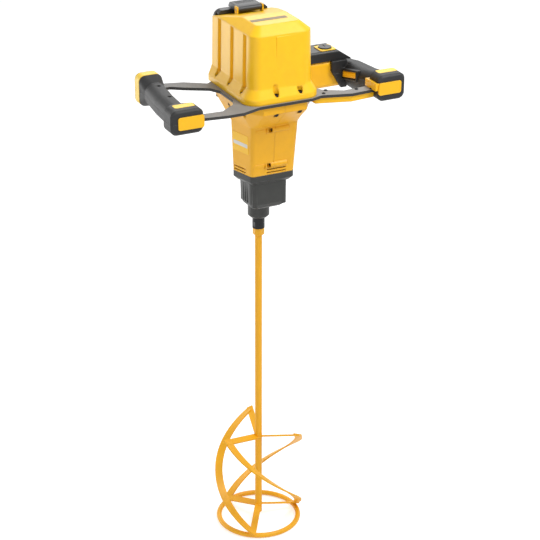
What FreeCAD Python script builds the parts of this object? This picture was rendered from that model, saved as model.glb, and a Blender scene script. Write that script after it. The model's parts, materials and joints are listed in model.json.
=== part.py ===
import FreeCAD, Part
import math
import os
import re

from FreeCAD import Placement, Rotation, Vector

# Two-handled cordless mixing drill with a helical stirring paddle.
# Z is the spindle axis, Z = 0 is the underside of the paddle ring, -Y faces the person who holds it.

os.makedirs("parts", exist_ok=True)
doc = FreeCAD.newDocument("mixing_drill")
sheet = doc.addObject("Spreadsheet::Sheet", "Sizes")

values = {
    # clearances
    "running_gap": 0.05,
    "moving_gap": 0.5,
    "hole_gap": 0.15,
    # paddle
    "ring_rod": 9.5,
    "ring_radius": 75.0,
    "shaft_diameter": 13.0,
    "shaft_lift": 11.5,
    "nut_bottom": 591.0,
    "nut_height": 13.0,
    "nut_flats": 18.0,
    "stud_diameter": 14.0,
    "stud_length": 18.0,
    "blade_width": 14.0,
    "blade_thickness": 3.0,
    "blade_rise": 182.0,
    "blade_sweep": 160.0,
    "blade_foot_angle": -124.0,
    "blade_tilt": 0.0,
    "spoke_width": 12.0,
    "spoke_tilt": 25.0,
    "spoke_drop": 17.0,
    "spoke_sink": 1.0,
    # spindle and its bearings
    "collar_diameter": 22.0,
    "collar_reveal": 22.0,
    "collar_flats": 19.0,
    "spindle_diameter": 15.0,
    "gear_seat_diameter": 13.0,
    "gear_shoulder_diameter": 17.0,
    "gear_shoulder_height": 3.0,
    "journal_diameter": 8.0,
    "main_bearing_outer": 32.0,
    "main_bearing_width": 9.0,
    "seal_height": 5.0,
    "small_bearing_outer": 16.0,
    "small_bearing_width": 5.0,
    "rotor_bearing_outer": 19.0,
    "rotor_bearing_width": 6.0,
    "bearing_lip": 2.0,
    # gear case
    "neck_diameter": 38.5,
    "neck_length": 31.0,
    "neck_lip": 6.0,
    "neck_chamfer": 4.0,
    "case_width": 71.0,
    "case_depth": 57.0,
    "case_height": 51.0,
    "case_corner": 12.0,
    "case_round": 10.0,
    "case_inset": 4.0,
    "case_wall": 4.0,
    "case_floor": 6.0,
    "case_back_radius": 28.0,
    "case_rib_width": 2.4,
    "case_rib_height": 1.4,
    "case_rib_pitch": 7.0,
    "case_boss_wall": 3.5,
    "cover_thickness": 18.0,
    "cover_chamfer": 7.0,
    "case_screw_span_x": 54.0,
    "case_screw_front": 41.0,
    "case_screw_back": 3.5,
    # gears
    "fine_module": 0.8,
    "coarse_module": 1.0,
    "pinion_teeth": 12,
    "idler_teeth": 28,
    "output_teeth": 36,
    "tooth_backlash": 0.12,
    "output_width": 13.0,
    "idler_width": 8.0,
    "gear_level_gap": 6.0,
    "pinion_extra": 2.0,
    "spacer_wall": 1.5,
    # motor
    "motor_offset": 18.5,
    "stator_outer": 60.0,
    "stator_inner": 34.0,
    "motor_room": 94.0,
    "stator_lift": 26.0,
    "stator_slots": 6,
    "slot_width": 8.0,
    "slot_inner": 20.0,
    "slot_outer": 27.0,
    "coil_overhang": 7.0,
    "coil_edge": 1.0,
    "air_gap": 0.5,
    "rotor_step": 1.0,
    "fan_diameter": 64.0,
    "fan_height": 10.0,
    "fan_blades": 9,
    "fan_vane": 2.0,
    # motor housing
    "housing_front": 57.0,
    "housing_front_width": 80.0,
    "housing_width": 105.0,
    "housing_wide_place": 9.0,
    "housing_back": 30.0,
    "housing_back_width": 60.0,
    "housing_height": 140.0,
    "housing_flare": 7.0,
    "housing_lean": 9.0,
    "housing_corner": 8.0,
    "housing_wall": 3.0,
    "housing_slope": 34.0,
    "lower_edge": 4.5,
    "lower_flange_height": 14.0,
    "lower_corner_x": 24.0,
    "lower_corner_y": 36.0,
    "web_thickness": 6.0,
    "bridge_thickness": 9.0,
    "air_hole_place": 24.0,
    "air_hole_diameter": 20.0,
    "housing_boss_diameter": 11.0,
    "housing_boss_left": 17.0,
    "housing_boss_right": 25.0,
    "housing_boss_inset": 2.0,
    "housing_screw_low": 18.5,
    "housing_screw_drop": 7.5,
    "screw_pocket_left": 14.0,
    "screw_pocket_right": 6.5,
    "vent_height": 2.0,
    "vent_length": 36.0,
    "vent_pitch": 6.0,
    "vent_lift": 3.0,
    "vent_shift": 6.0,
    "vent_depth": 9.0,
    "side_vent_front": 41.0,
    "side_vent_back": 11.0,
    "side_vent_inner": 36.0,
    "control_width": 60.0,
    "control_depth": 52.0,
    "control_height": 12.0,
    "control_fin_height": 4.0,
    "control_fin_width": 3.0,
    "control_fin_pitch": 10.0,
    # frame plate
    "plate_thickness": 5.0,
    "arm_width": 20.0,
    "arm_left_reach": 172.0,
    "arm_right_reach": 184.0,
    "plate_margin": 6.0,
    "plate_lip": 3.0,
    "arm_bow": 8.5,
    "arm_root": 10.0,
    "arm_notch": 51.0,
    "plate_back_inset": 8.0,
    "left_arm_front": 110.0,
    "left_arm_back": 72.0,
    "left_arm_bend": 112.0,
    "right_arm_front": 109.0,
    "right_arm_bend": 120.0,
    "neck_arm_width": 28.0,
    "cable_hole_place": 30.0,
    "cable_hole": 26.0,
    # battery box
    "box_width": 116.0,
    "box_front": 95.0,
    "box_back": 68.0,
    "box_height": 129.0,
    "box_corner": 18.0,
    "box_back_corner": 6.0,
    "box_wall": 3.0,
    "box_draft": 1.5,
    "eave_drop": 14.0,
    "roof_inset": 16.5,
    "roof_front_inset": 19.0,
    "roof_corner": 9.0,
    "roof_fall_start": 20.0,
    "roof_drop": 20.0,
    "flange_ledge": 10.0,
    "flange_front_ledge": 8.0,
    "flange_corner": 25.0,
    "flange_back_corner": 14.0,
    "flange_height": 9.0,
    "flange_slope": 16.0,
    "groove_width": 12.0,
    "groove_depth": 5.0,
    "groove_stop": 1.5,
    "box_rib_pitch": 49.0,
    "box_rib_middle": 16.0,
    # bolts
    "bolt_inset": 8.0,
    "bolt_front_inset": 5.75,
    "bolt_left_place": 15.0,
    "bolt_right_place": 29.0,
    "bolt_diameter": 5.0,
    "bolt_head_diameter": 8.5,
    "bolt_head_height": 5.0,
    "bolt_seat_height": 9.0,
    "bolt_socket": 2.6,
    "bolt_recess_diameter": 9.5,
    "bolt_nut_flats": 8.0,
    "bolt_nut_height": 4.0,
    "bolt_floor": 6.0,
    "bolt_tail": 1.5,
    "small_screw_diameter": 4.0,
    "small_head_diameter": 7.0,
    "small_head_height": 2.6,
    "small_screw_length": 20.0,
    "driver_slot": 1.2,
    # battery and its door
    "battery_base": 11.0,
    "battery_room": 8.5,
    "battery_front_room": 23.0,
    "battery_back_room": 14.0,
    "battery_head": 36.0,
    "battery_corner": 12.0,
    "battery_rail": 3.0,
    "terminal_inset": 6.0,
    "door_inset": 8.0,
    "door_thickness": 8.0,
    "door_gap": 0.6,
    "door_foot": 19.0,
    "door_drop": 10.5,
    "door_corner": 14.0,
    "door_lip": 9.0,
    "door_lip_inset": 4.0,
    "door_rib_width": 8.0,
    "door_rib_pitch": 20.0,
    "door_rib_height": 2.0,
    "opening_inset": 7.0,
    "opening_foot": 16.0,
    "opening_head": 29.0,
    "opening_corner": 8.0,
    "seal_width": 3.0,
    "seal_inset": 2.0,
    "hinge_pin_diameter": 4.0,
    "hinge_barrel_diameter": 9.0,
    "hinge_height": 12.0,
    "hinge_offset": 1.5,
    "hinge_lug_width": 5.0,
    "hinge_barrel_length": 20.0,
    "hinge_spread": 28.0,
    "latch_width": 44.0,
    "latch_length": 36.0,
    "latch_pin_place": 36.0,
    "latch_pin_drop": 5.0,
    "latch_rise": 0.5,
    "latch_boss": 5.0,
    "latch_lip_gap": 2.0,
    "finger_groove": 1.6,
    "latch_pin_diameter": 4.0,
    "fin_thickness": 2.5,
    "fin_length": 10.0,
    "fin_rise": 0.5,
    # grips
    "cap_width": 58.0,
    "cap_height": 42.0,
    "cap_length": 32.0,
    "cap_round": 4.0,
    "cap_taper": 18.0,
    "cap_corner": 11.0,
    "cap_lift": 1.0,
    "rear_cap_width": 42.0,
    "rear_cap_length": 24.0,
    "rear_cap_height": 54.0,
    "waist_width": 38.0,
    "waist_height": 40.0,
    "grip_corner": 17.0,
    "left_front_x": 186.0,
    "left_waist_x": 183.0,
    "left_waist_place": 20.0,
    "left_rear_x": 175.5,
    "left_waist_sink": 3.0,
    "left_rear_sink": 2.0,
    "left_grip_front": 122.0,
    "left_grip_back": 80.0,
    "left_screw_front": 36.0,
    "left_screw_front_x": 180.0,
    "left_screw_back": 20.0,
    "left_screw_back_x": 176.0,
    "right_cap_x": 191.0,
    "right_cap_width": 52.0,
    "right_cap_height": 46.0,
    "right_cap_rise": 3.0,
    "right_grip_x": 194.0,
    "right_grip_front": 124.0,
    "right_grip_back": 70.0,
    "right_rear_width": 41.0,
    "right_rear_height": 36.0,
    "right_guard_height": 46.0,
    "right_guard_place": 16.0,
    "right_waist_place": 45.0,
    "right_waist_sink": 12.0,
    "right_waist_x": 192.0,
    "right_waist_width": 42.0,
    "right_waist_height": 50.0,
    "right_sink": 15.0,
    "right_screw_side": 6.0,
    "right_screw_front": 62.0,
    "right_screw_back": 42.0,
    "right_screw_sink": 11.0,
    "inlay_depth": 3.0,
    "inlay_proud": 1.0,
    "inlay_width": 46.0,
    "inlay_height": 22.0,
    "inlay_corner": 4.0,
    "inlay_shift": 6.0,
    "right_inlay_width": 43.0,
    "right_inlay_shift": 4.0,
    "rear_inlay_width": 28.0,
    "tail_reach": 31.0,
    "tail_height": 13.0,
    "tail_place": 2.0,
    "tail_length": 36.0,
    "tail_root": 7.0,
    "top_inlay_length": 16.0,
    "top_inlay_width": 36.0,
    "top_inlay_shift": 3.0,
    "top_inlay_place": 23.5,
    "wrap_length": 17.0,
    "wrap_margin": 6.0,
    "wrap_depth": 5.0,
    "wrap_reach": 15.0,
    "wrap_drop": 22.0,
    # right neck, channel, dial and trigger
    "neck_front": 20.0,
    "neck_back": 66.0,
    "neck_drop": 37.0,
    "neck_rise": 13.0,
    "neck_corner": 8.0,
    "neck_socket": 6.0,
    "neck_cover_rise": 18.0,
    "neck_cover_start": 92.0,
    "neck_cover_slope": 26.5,
    "neck_cover_tail": 10.0,
    "neck_cover_side": 1.0,
    "cheek_reach": 24.0,
    "cheek_step": 5.0,
    "cheek_depth": 6.0,
    "channel_depth": 10.0,
    "channel_inset": 2.0,
    "channel_reach": 8.0,
    "dial_diameter": 23.0,
    "dial_height": 3.0,
    "dial_inset": 0.5,
    "dial_forward": 5.0,
    "bezel_size": 30.0,
    "bezel_height": 1.5,
    "dial_shaft_diameter": 6.0,
    "dial_shaft_length": 9.0,
    "dial_mark": 2.0,
    "trigger_length": 48.0,
    "trigger_height": 12.0,
    "trigger_fall": 11.0,
    "trigger_sink": 6.5,
    "trigger_depth": 20.0,
    "trigger_reach": 1.5,
    "trigger_rim": 4.0,
    "trigger_rim_proud": 0.5,
    "trigger_travel": 6.0,
    "trigger_middle": 11.0,
    "switch_length": 54.0,
    "switch_height": 22.0,
    "switch_sink": 10.0,
    "switch_depth": 10.0,
}

for row, (alias, amount) in enumerate(values.items(), start=1):
    sheet.set("A%d" % row, alias)
    sheet.set("B%d" % row, str(amount))
    sheet.setAlias("B%d" % row, alias)
doc.recompute()


def size(alias):
    return float(sheet.get(alias))


def number(text):
    """Value of a sum of sheet names, such as "plate_thickness + box_height - box_wall / 2"."""
    total = 0.0
    for term in text.replace("-", "+-").split("+"):
        term = term.strip()
        if not term:
            continue
        sign = -1.0 if term.startswith("-") else 1.0
        parts = [part.strip() for part in term.lstrip("- ").split("/")]
        amount = size(parts[0]) if parts[0] in values else float(parts[0])
        for divisor in parts[1:]:
            amount /= float(divisor)
        total += sign * amount
    return total


def bind(item, field, text):
    named = re.sub(r"[a-z_]{3,}", lambda found: "Sizes." + found.group(0), text)
    item.setExpression(field, named)


SPINDLE_END = "nut_bottom + nut_height"
NECK_BOTTOM = SPINDLE_END + " + collar_reveal"
SEAL_BOTTOM = NECK_BOTTOM + " + neck_lip"
MAIN_BEARING_BOTTOM = SEAL_BOTTOM + " + seal_height"
CASE_BOTTOM = NECK_BOTTOM + " + neck_length"
CASE_FLOOR = CASE_BOTTOM + " + case_floor"
CASE_TOP = CASE_BOTTOM + " + case_height"
HOUSING_BOTTOM = CASE_TOP + " + cover_thickness"
STATOR_LONG = "housing_height - motor_room"
STATOR_BOTTOM = HOUSING_BOTTOM + " + stator_lift"
STATOR_TOP = STATOR_BOTTOM + " + " + STATOR_LONG
FAN_BOTTOM = STATOR_TOP + " + coil_overhang + moving_gap + moving_gap + moving_gap"
BRIDGE_BOTTOM = FAN_BOTTOM + " + fan_height + moving_gap + moving_gap + moving_gap"
BRIDGE_TOP = BRIDGE_BOTTOM + " + bridge_thickness"
PLATE_BOTTOM = HOUSING_BOTTOM + " + housing_height"
PLATE_TOP = PLATE_BOTTOM + " + plate_thickness"
FLANGE_TOP = PLATE_TOP + " + flange_height"
WALL_BOTTOM = FLANGE_TOP + " + flange_slope"
ROOF = PLATE_TOP + " + box_height"
EAVE = ROOF + " - eave_drop"
OUTPUT_BOTTOM = CASE_FLOOR + " + gear_shoulder_height"
OUTPUT_TOP = OUTPUT_BOTTOM + " + output_width"
IDLER_BOTTOM = OUTPUT_TOP + " + gear_level_gap"
IDLER_TOP = IDLER_BOTTOM + " + idler_width"

motor_y = -size("motor_offset")
plate_top = number(PLATE_TOP)
flange_half = size("box_width") / 2 + size("flange_ledge")
flange_front = size("box_front") + size("flange_front_ledge")

fine_distance = size("fine_module") * (size("pinion_teeth") + size("idler_teeth")) / 2
coarse_distance = size("coarse_module") * (size("pinion_teeth") + size("output_teeth")) / 2
idler_y = (fine_distance ** 2 - coarse_distance ** 2 - motor_y ** 2) / (-2 * motor_y)
idler_x = math.sqrt(coarse_distance ** 2 - idler_y ** 2)

nodes = []


def line(x0, y0, x1, y1):
    return Part.LineSegment(Vector(x0, y0, 0), Vector(x1, y1, 0))


def rounded(x0, x1, y0, y1, radius, back_radius=None):
    """Rectangle with round corners, those at y1 with a radius of their own if it is given."""
    back = radius if back_radius is None else back_radius
    corners = (
        (x1 - radius, y0 + radius, radius, -90),
        (x1 - back, y1 - back, back, 0),
        (x0 + back, y1 - back, back, 90),
        (x0 + radius, y0 + radius, radius, 180),
    )
    sides = (
        line(x1, y0 + radius, x1, y1 - back),
        line(x1 - back, y1, x0 + back, y1),
        line(x0, y1 - back, x0, y0 + radius),
        line(x0 + radius, y0, x1 - radius, y0),
    )
    shapes = []
    for (x, y, bend, start), side in zip(corners, sides):
        circle = Part.Circle(Vector(x, y, 0), Vector(0, 0, 1), bend)
        shapes.append(Part.ArcOfCircle(circle, math.radians(start), math.radians(start + 90)))
        shapes.append(side)
    return shapes


def chamfered(x0, x1, y0, y1, cut_x, cut_y):
    """Rectangle with cut corners, in the same order as the rounded one."""
    return polygon((
        (x1 - cut_x, y0), (x1, y0 + cut_y), (x1, y1 - cut_y), (x1 - cut_x, y1),
        (x0 + cut_x, y1), (x0, y1 - cut_y), (x0, y0 + cut_y), (x0 + cut_x, y0),
    ))


def rectangle(x0, x1, y0, y1):
    return polygon(((x0, y0), (x1, y0), (x1, y1), (x0, y1)))


def polygon(points):
    shapes = []
    for first, second in zip(points, points[1:] + points[:1]):
        shapes.append(line(first[0], first[1], second[0], second[1]))
    return shapes


def disc(x, y, radius):
    return [Part.Circle(Vector(x, y, 0), Vector(0, 0, 1), radius)]


def discs(places, radius):
    """Equal circles at several places."""
    shapes = []
    for x, y in places:
        shapes += disc(x, y, radius)
    return shapes


def hexagon(x, y, flats):
    reach = flats / math.sqrt(3)
    turns = [math.radians(60 * step + 30) for step in range(6)]
    return polygon([(x + reach * math.cos(turn), y + reach * math.sin(turn)) for turn in turns])


def new_body(label):
    body = doc.addObject("PartDesign::Body", label)
    body.Label = label
    nodes.append(body)
    return body


def sketch(body, plane, level, shapes):
    item = body.newObject("Sketcher::SketchObject", "outline")
    origin = [face for face in body.Origin.OriginFeatures if face.Role == plane][0]
    item.AttachmentSupport = [(origin, "")]
    item.MapMode = "FlatFace"
    bind(item, "AttachmentOffset.Base.z", level)
    item.addGeometry(shapes, False)
    return item


def pad(body, level, shapes, length, plane="XY_Plane"):
    """Solid from a level upwards (XY), to +X (YZ) or to -Y (XZ)."""
    item = body.newObject("PartDesign::Pad", "pad")
    item.Profile = sketch(body, plane, level, shapes)
    item.Refine = False
    bind(item, "Length", length)
    return item


def cut(body, level, shapes, length, plane="XY_Plane"):
    """Hollow in the same direction as a pad."""
    item = body.newObject("PartDesign::Pocket", "cut")
    item.Profile = sketch(body, plane, level, shapes)
    item.Reversed = True
    item.Refine = False
    bind(item, "Length", length)
    return item


def loft(body, sections, plane="XY_Plane", hollow=False, ruled=True):
    kind = "PartDesign::SubtractiveLoft" if hollow else "PartDesign::AdditiveLoft"
    profiles = [sketch(body, plane, level, shapes) for level, shapes in sections]
    item = body.newObject(kind, "loft")
    item.Profile = profiles[0]
    item.Sections = profiles[1:]
    item.Ruled = ruled
    item.Refine = False
    return item


def soften(body, kind, amount, chosen):
    """Fillet or chamfer on the edges of the tip that a test picks."""
    tip = body.Tip
    doc.recompute([tip], True)
    names = ["Edge%d" % (n + 1) for n, edge in enumerate(tip.Shape.Edges) if chosen(edge)]
    item = body.newObject("PartDesign::" + kind, kind.lower())
    item.Base = (tip, names)
    bind(item, "Radius" if kind == "Fillet" else "Size", amount)
    return item


def feature(label, shape, place=Vector(0, 0, 0), turn=0.0):
    item = doc.addObject("Part::Feature", label)
    item.Label = label
    item.Shape = shape
    item.Placement = Placement(place, Rotation(Vector(0, 0, 1), turn))
    nodes.append(item)
    return item


def flat_at(edge, height):
    box = edge.BoundBox
    return abs(box.ZMin - height) < 1e-4 and abs(box.ZMax - height) < 1e-4


def offset_points(points, amount):
    """Corners of an outline drawn counter-clockwise, with every side moved outwards."""
    moved = []
    for before, here, after in zip(points[-1:] + points[:-1], points, points[1:] + points[:1]):
        first = Vector(here[1] - before[1], before[0] - here[0], 0).normalize()
        second = Vector(after[1] - here[1], here[0] - after[0], 0).normalize()
        shift = (first + second) * (amount / (1 + first.dot(second)))
        moved.append((here[0] + shift.x, here[1] + shift.y))
    return moved


def corner_arc(before, corner, after, radius):
    """Start, arc and end of a rounded corner of an outline drawn counter-clockwise."""
    here = Vector(corner[0], corner[1], 0)
    back = (Vector(before[0], before[1], 0) - here).normalize()
    ahead = (Vector(after[0], after[1], 0) - here).normalize()
    half = back.getAngle(ahead) / 2
    start = here + back * (radius / math.tan(half))
    end = here + ahead * (radius / math.tan(half))
    middle = here + (back + ahead).normalize() * (radius / math.sin(half))
    angles = [math.atan2(spot.y - middle.y, spot.x - middle.x) for spot in (start, end)]
    if angles[1] < angles[0]:
        angles[1] += 2 * math.pi
    arc = Part.ArcOfCircle(Part.Circle(middle, Vector(0, 0, 1), radius), angles[0], angles[1])
    return (start.x, start.y), arc, (end.x, end.y)


# outlines that several pieces share

def case_outline(inset):
    half = size("case_width") / 2 - inset
    middle = motor_y
    reach = size("case_depth") / 2 - inset
    return rounded(-half, half, middle - reach, middle + reach, size("case_corner") - inset / 2)


def housing_reach(share):
    """Front and back of the flared housing, from its foot (0) to where it slopes out to its flange (1)."""
    front = size("housing_front") + share * size("housing_lean")
    back = size("housing_back") + share * size("housing_flare") / 2
    return -front, back


def housing_outline(share, inset):
    """Six-sided outline, widest behind the front, with round front corners."""
    front, back = housing_reach(share)
    flare = share * size("housing_flare") / 2
    front_half = size("housing_front_width") / 2 + flare
    wide_half = size("housing_width") / 2 + flare
    back_half = size("housing_back_width") / 2 + flare
    right_side = [(front_half, front), (wide_half, -size("housing_wide_place")), (back_half, back)]
    left_side = [(-x, y) for x, y in reversed(right_side)]
    points = offset_points(right_side + left_side, -inset)
    bend = size("housing_corner") - inset / 2
    first, right_arc, second = corner_arc(points[-1], points[0], points[1], bend)
    third, left_arc, last = corner_arc(points[-2], points[-1], points[0], bend)
    spots = [second] + points[1:-1] + [third]
    sides = [line(a[0], a[1], b[0], b[1]) for a, b in zip(spots, spots[1:])]
    return [right_arc] + sides + [left_arc, line(last[0], last[1], first[0], first[1])]


def flange_outline(inset):
    half = flange_half - inset
    front = flange_front - inset
    back = size("box_back") - inset
    front_corner = size("flange_corner") - inset / 2
    back_corner = size("flange_back_corner") - inset / 2
    return rounded(-half, half, -front, back, front_corner, back_corner)


def box_outline(inset):
    half = size("box_width") / 2 - inset
    front = size("box_front") - inset
    back = size("box_back") - inset
    front_corner = size("box_corner") - inset / 2
    back_corner = size("box_back_corner") - inset / 2
    return rounded(-half, half, -front, back, front_corner, back_corner)


bolt_side = flange_half - size("bolt_inset")
bolt_front = flange_front - size("bolt_front_inset")
rib_places = [-size("box_rib_middle") + size("box_rib_pitch") * step for step in (-1, 0, 1)]
bolt_places = [(-size("bolt_left_place"), -bolt_front), (size("bolt_right_place"), -bolt_front)]
for rib_y in rib_places:
    bolt_places.append((-bolt_side, rib_y))
    bolt_places.append((bolt_side, rib_y))
case_screw_places = []
for side in (-1, 1):
    for screw_y in (-size("case_screw_front"), size("case_screw_back")):
        case_screw_places.append((side * size("case_screw_span_x") / 2, screw_y))

bolt_radius = size("bolt_diameter") / 2
bolt_hole = bolt_radius + size("hole_gap")
screw_radius = size("small_screw_diameter") / 2
screw_hole = screw_radius + size("hole_gap")
screw_head = size("small_head_diameter") / 2
head_hole = screw_head + size("hole_gap")


# paddle

shaft_radius = size("shaft_diameter") / 2
stud_radius = size("stud_diameter") / 2
shaft = new_body("paddle_shaft")
pad(shaft, "shaft_lift", disc(0, 0, shaft_radius), "nut_bottom - shaft_lift")

nut = new_body("paddle_nut")
pad(nut, "nut_bottom", hexagon(0, 0, size("nut_flats")), "nut_height")
pad(nut, SPINDLE_END, disc(0, 0, stud_radius), "stud_length")

ring = doc.addObject("Part::Torus", "paddle_ring")
ring.Label = "paddle_ring"
bind(ring, "Radius1", "ring_radius")
bind(ring, "Radius2", "ring_rod / 2")
bind(ring, "Placement.Base.z", "ring_rod / 2")
nodes.append(ring)


def bar(start, end, width, thickness, tilt):
    """Flat bar between two points, turned about its own length."""
    along = end - start
    across = Vector(0, 0, 1).cross(along).normalize()
    lift = along.cross(across).normalize()
    wide = across * math.cos(tilt) - lift * math.sin(tilt)
    thin = lift * math.cos(tilt) + across * math.sin(tilt)
    corner = start - wide * (width / 2) - thin * (thickness / 2)
    side = wide * width
    top = thin * thickness
    points = [corner, corner + side, corner + side + top, corner + top]
    face = Part.Face(Part.makePolygon(points + points[:1]))
    return face.extrude(along)


def blade_shape():
    radius = size("ring_radius")
    width = size("blade_width")
    thickness = size("blade_thickness")
    rise = size("blade_rise")
    tilt = math.radians(size("blade_tilt"))
    foot = size("ring_rod") + thickness / 2
    pitch = rise * 360.0 / size("blade_sweep")
    helix = Part.makeHelix(pitch, rise, radius, 0, True)
    lead = math.atan2(pitch, 2 * math.pi * radius)
    tangent = Vector(0, -math.cos(lead), math.sin(lead))
    outward = Vector(1, 0, 0)
    down = outward.cross(tangent)
    wide = outward * math.cos(tilt) + down * math.sin(tilt)
    thin = down * math.cos(tilt) - outward * math.sin(tilt)
    centre = Vector(radius, 0, 0)
    corners = []
    for out, up in ((-1, -1), (1, -1), (1, 1), (-1, 1)):
        corners.append(centre + wide * (out * width / 2) + thin * (up * thickness / 2))
    section = Part.makePolygon(corners + corners[:1])
    ribbon = Part.Wire(helix.Edges).makePipeShell([section], True, True)
    ribbon.translate(Vector(0, 0, foot))
    tip_turn = math.radians(-size("blade_sweep"))
    tip_way = Vector(math.cos(tip_turn), math.sin(tip_turn), 0)
    outer = radius + width / 2 * math.cos(tilt)
    spoke = size("spoke_width")
    spoke_tilt = math.radians(size("spoke_tilt"))
    low_start = Vector(0, 0, foot + size("spoke_drop"))
    low_end = Vector(outer, 0, foot - size("spoke_sink"))
    low = bar(low_start, low_end, spoke, thickness, spoke_tilt)
    tip_height = Vector(0, 0, foot + rise)
    high_start = tip_height - Vector(0, 0, size("spoke_drop"))
    high = bar(high_start, tip_height + tip_way * outer, spoke, thickness, spoke_tilt)
    whole = ribbon.multiFuse([low, high])
    post = Part.makeCylinder(shaft_radius, number("nut_bottom"))
    rod = size("ring_rod")
    slab = Part.makeBox(4 * radius, 4 * radius, 2 * rod, Vector(-2 * radius, -2 * radius, -rod))
    whole = whole.cut(post).cut(slab)
    solid = max(whole.Solids, key=lambda piece: piece.Volume).removeSplitter()
    return solid.Solids[0]


blade = blade_shape()
for letter, turn in (("a", 0), ("b", 120), ("c", 240)):
    feature("paddle_blade_" + letter, blade, turn=size("blade_foot_angle") + turn)


# spindle

collar_radius = size("collar_diameter") / 2
spindle = new_body("spindle")
COLLAR_TOP = MAIN_BEARING_BOTTOM + " - moving_gap"
pad(spindle, SPINDLE_END, disc(0, 0, collar_radius), "collar_reveal + neck_lip + seal_height - moving_gap")
SEAT_TOP = MAIN_BEARING_BOTTOM + " + main_bearing_width"
pad(spindle, COLLAR_TOP, disc(0, 0, size("spindle_diameter") / 2),
    "main_bearing_width + moving_gap + moving_gap")
pad(spindle, SEAT_TOP, disc(0, 0, size("gear_seat_diameter") / 2),
    "%.4f" % (number(OUTPUT_TOP) - number(SEAT_TOP)))
pad(spindle, CASE_FLOOR, disc(0, 0, size("gear_shoulder_diameter") / 2), "gear_shoulder_height")
pad(spindle, OUTPUT_TOP, disc(0, 0, size("journal_diameter") / 2),
    "case_height - case_floor - gear_shoulder_height - output_width + small_bearing_width - moving_gap")
cut(spindle, SPINDLE_END, disc(0, 0, stud_radius + size("running_gap")), "stud_length + moving_gap")
flat = size("collar_flats") / 2
far = collar_radius * 1.2
cut(spindle, SPINDLE_END + " + moving_gap + moving_gap + moving_gap",
    rectangle(-far, -flat, -far, far) + rectangle(flat, far, -far, far), "collar_reveal / 2")


# bearings and seal

def bearing(label, x, y, bottom, outer, bore, width):
    ring_body = new_body(label)
    pad(ring_body, bottom, disc(x, y, outer / 2), width)
    cut(ring_body, bottom, disc(x, y, bore / 2 + size("running_gap")), width)
    groove_mid = (outer + bore) / 4
    groove = disc(x, y, groove_mid + (outer - bore) / 16) + disc(x, y, groove_mid - (outer - bore) / 16)
    for level in (bottom, bottom + " + " + width + " - moving_gap"):
        cut(ring_body, level, groove, "moving_gap")
    return ring_body


small_outer = size("small_bearing_outer")
journal = size("journal_diameter")
bearing("spindle_bearing_lower", 0, 0, MAIN_BEARING_BOTTOM, size("main_bearing_outer"),
        size("spindle_diameter"), "main_bearing_width")
bearing("spindle_bearing_upper", 0, 0, CASE_TOP, small_outer, journal, "small_bearing_width")
bearing("idler_bearing_lower", idler_x, idler_y, CASE_FLOOR + " - small_bearing_width", small_outer, journal,
        "small_bearing_width")
bearing("idler_bearing_upper", idler_x, idler_y, CASE_TOP, small_outer, journal, "small_bearing_width")
ROTOR_BEARING_BOTTOM = HOUSING_BOTTOM + " - rotor_bearing_width"
bearing("rotor_bearing_lower", 0, motor_y, ROTOR_BEARING_BOTTOM, size("rotor_bearing_outer"), journal,
        "rotor_bearing_width")
bearing("rotor_bearing_upper", 0, motor_y, BRIDGE_TOP + " - small_bearing_width", small_outer, journal,
        "small_bearing_width")

seal = new_body("spindle_seal")
pad(seal, SEAL_BOTTOM, disc(0, 0, size("main_bearing_outer") / 2), "seal_height")
cut(seal, SEAL_BOTTOM, disc(0, 0, collar_radius + size("running_gap")), "seal_height")


# gear case

case = new_body("gear_case")
loft(case, (
    (CASE_BOTTOM, case_outline(size("case_inset") + size("case_inset"))),
    (CASE_BOTTOM + " + case_round / 3", case_outline(size("case_inset"))),
    (CASE_BOTTOM + " + case_round", case_outline(size("case_inset") / 3)),
    (CASE_TOP, case_outline(0)),
))
pad(case, CASE_BOTTOM + " + case_round / 3", disc(0, 0, size("case_back_radius")),
    "case_height - case_round / 3")
pad(case, NECK_BOTTOM + " + neck_chamfer", disc(0, 0, size("neck_diameter") / 2),
    "neck_length + case_floor - neck_chamfer")
loft(case, (
    (NECK_BOTTOM, disc(0, 0, size("neck_diameter") / 2 - size("neck_chamfer"))),
    (NECK_BOTTOM + " + neck_chamfer", disc(0, 0, size("neck_diameter") / 2)),
))
rib_half = size("case_rib_width") / 2
rib_out = size("case_width") / 2 - size("case_inset") / 3 + size("case_rib_height")
ribs = []
for step in (-1, 0, 1):
    rib_y = motor_y + step * size("case_rib_pitch")
    ribs += rectangle(-rib_out, rib_out, rib_y - rib_half, rib_y + rib_half)
pad(case, CASE_BOTTOM + " + case_round", ribs, "case_height - case_round - neck_chamfer")
cut(case, CASE_FLOOR, case_outline(size("case_wall") + size("case_inset") / 3), "case_height - case_floor")
cut(case, CASE_FLOOR, disc(0, 0, size("case_back_radius") - size("case_wall")), "case_height - case_floor")
pad(case, CASE_FLOOR, discs(case_screw_places, screw_radius + size("case_boss_wall")),
    "case_height - case_floor")
cut(case, NECK_BOTTOM, disc(0, 0, collar_radius + size("moving_gap")), "neck_lip")
cut(case, SEAL_BOTTOM, disc(0, 0, size("main_bearing_outer") / 2), "neck_length + case_floor - neck_lip")
cut(case, CASE_FLOOR + " - small_bearing_width", disc(idler_x, idler_y, small_outer / 2),
    "small_bearing_width")
cut(case, CASE_TOP + " - small_screw_length", discs(case_screw_places, screw_hole), "small_screw_length")

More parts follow.
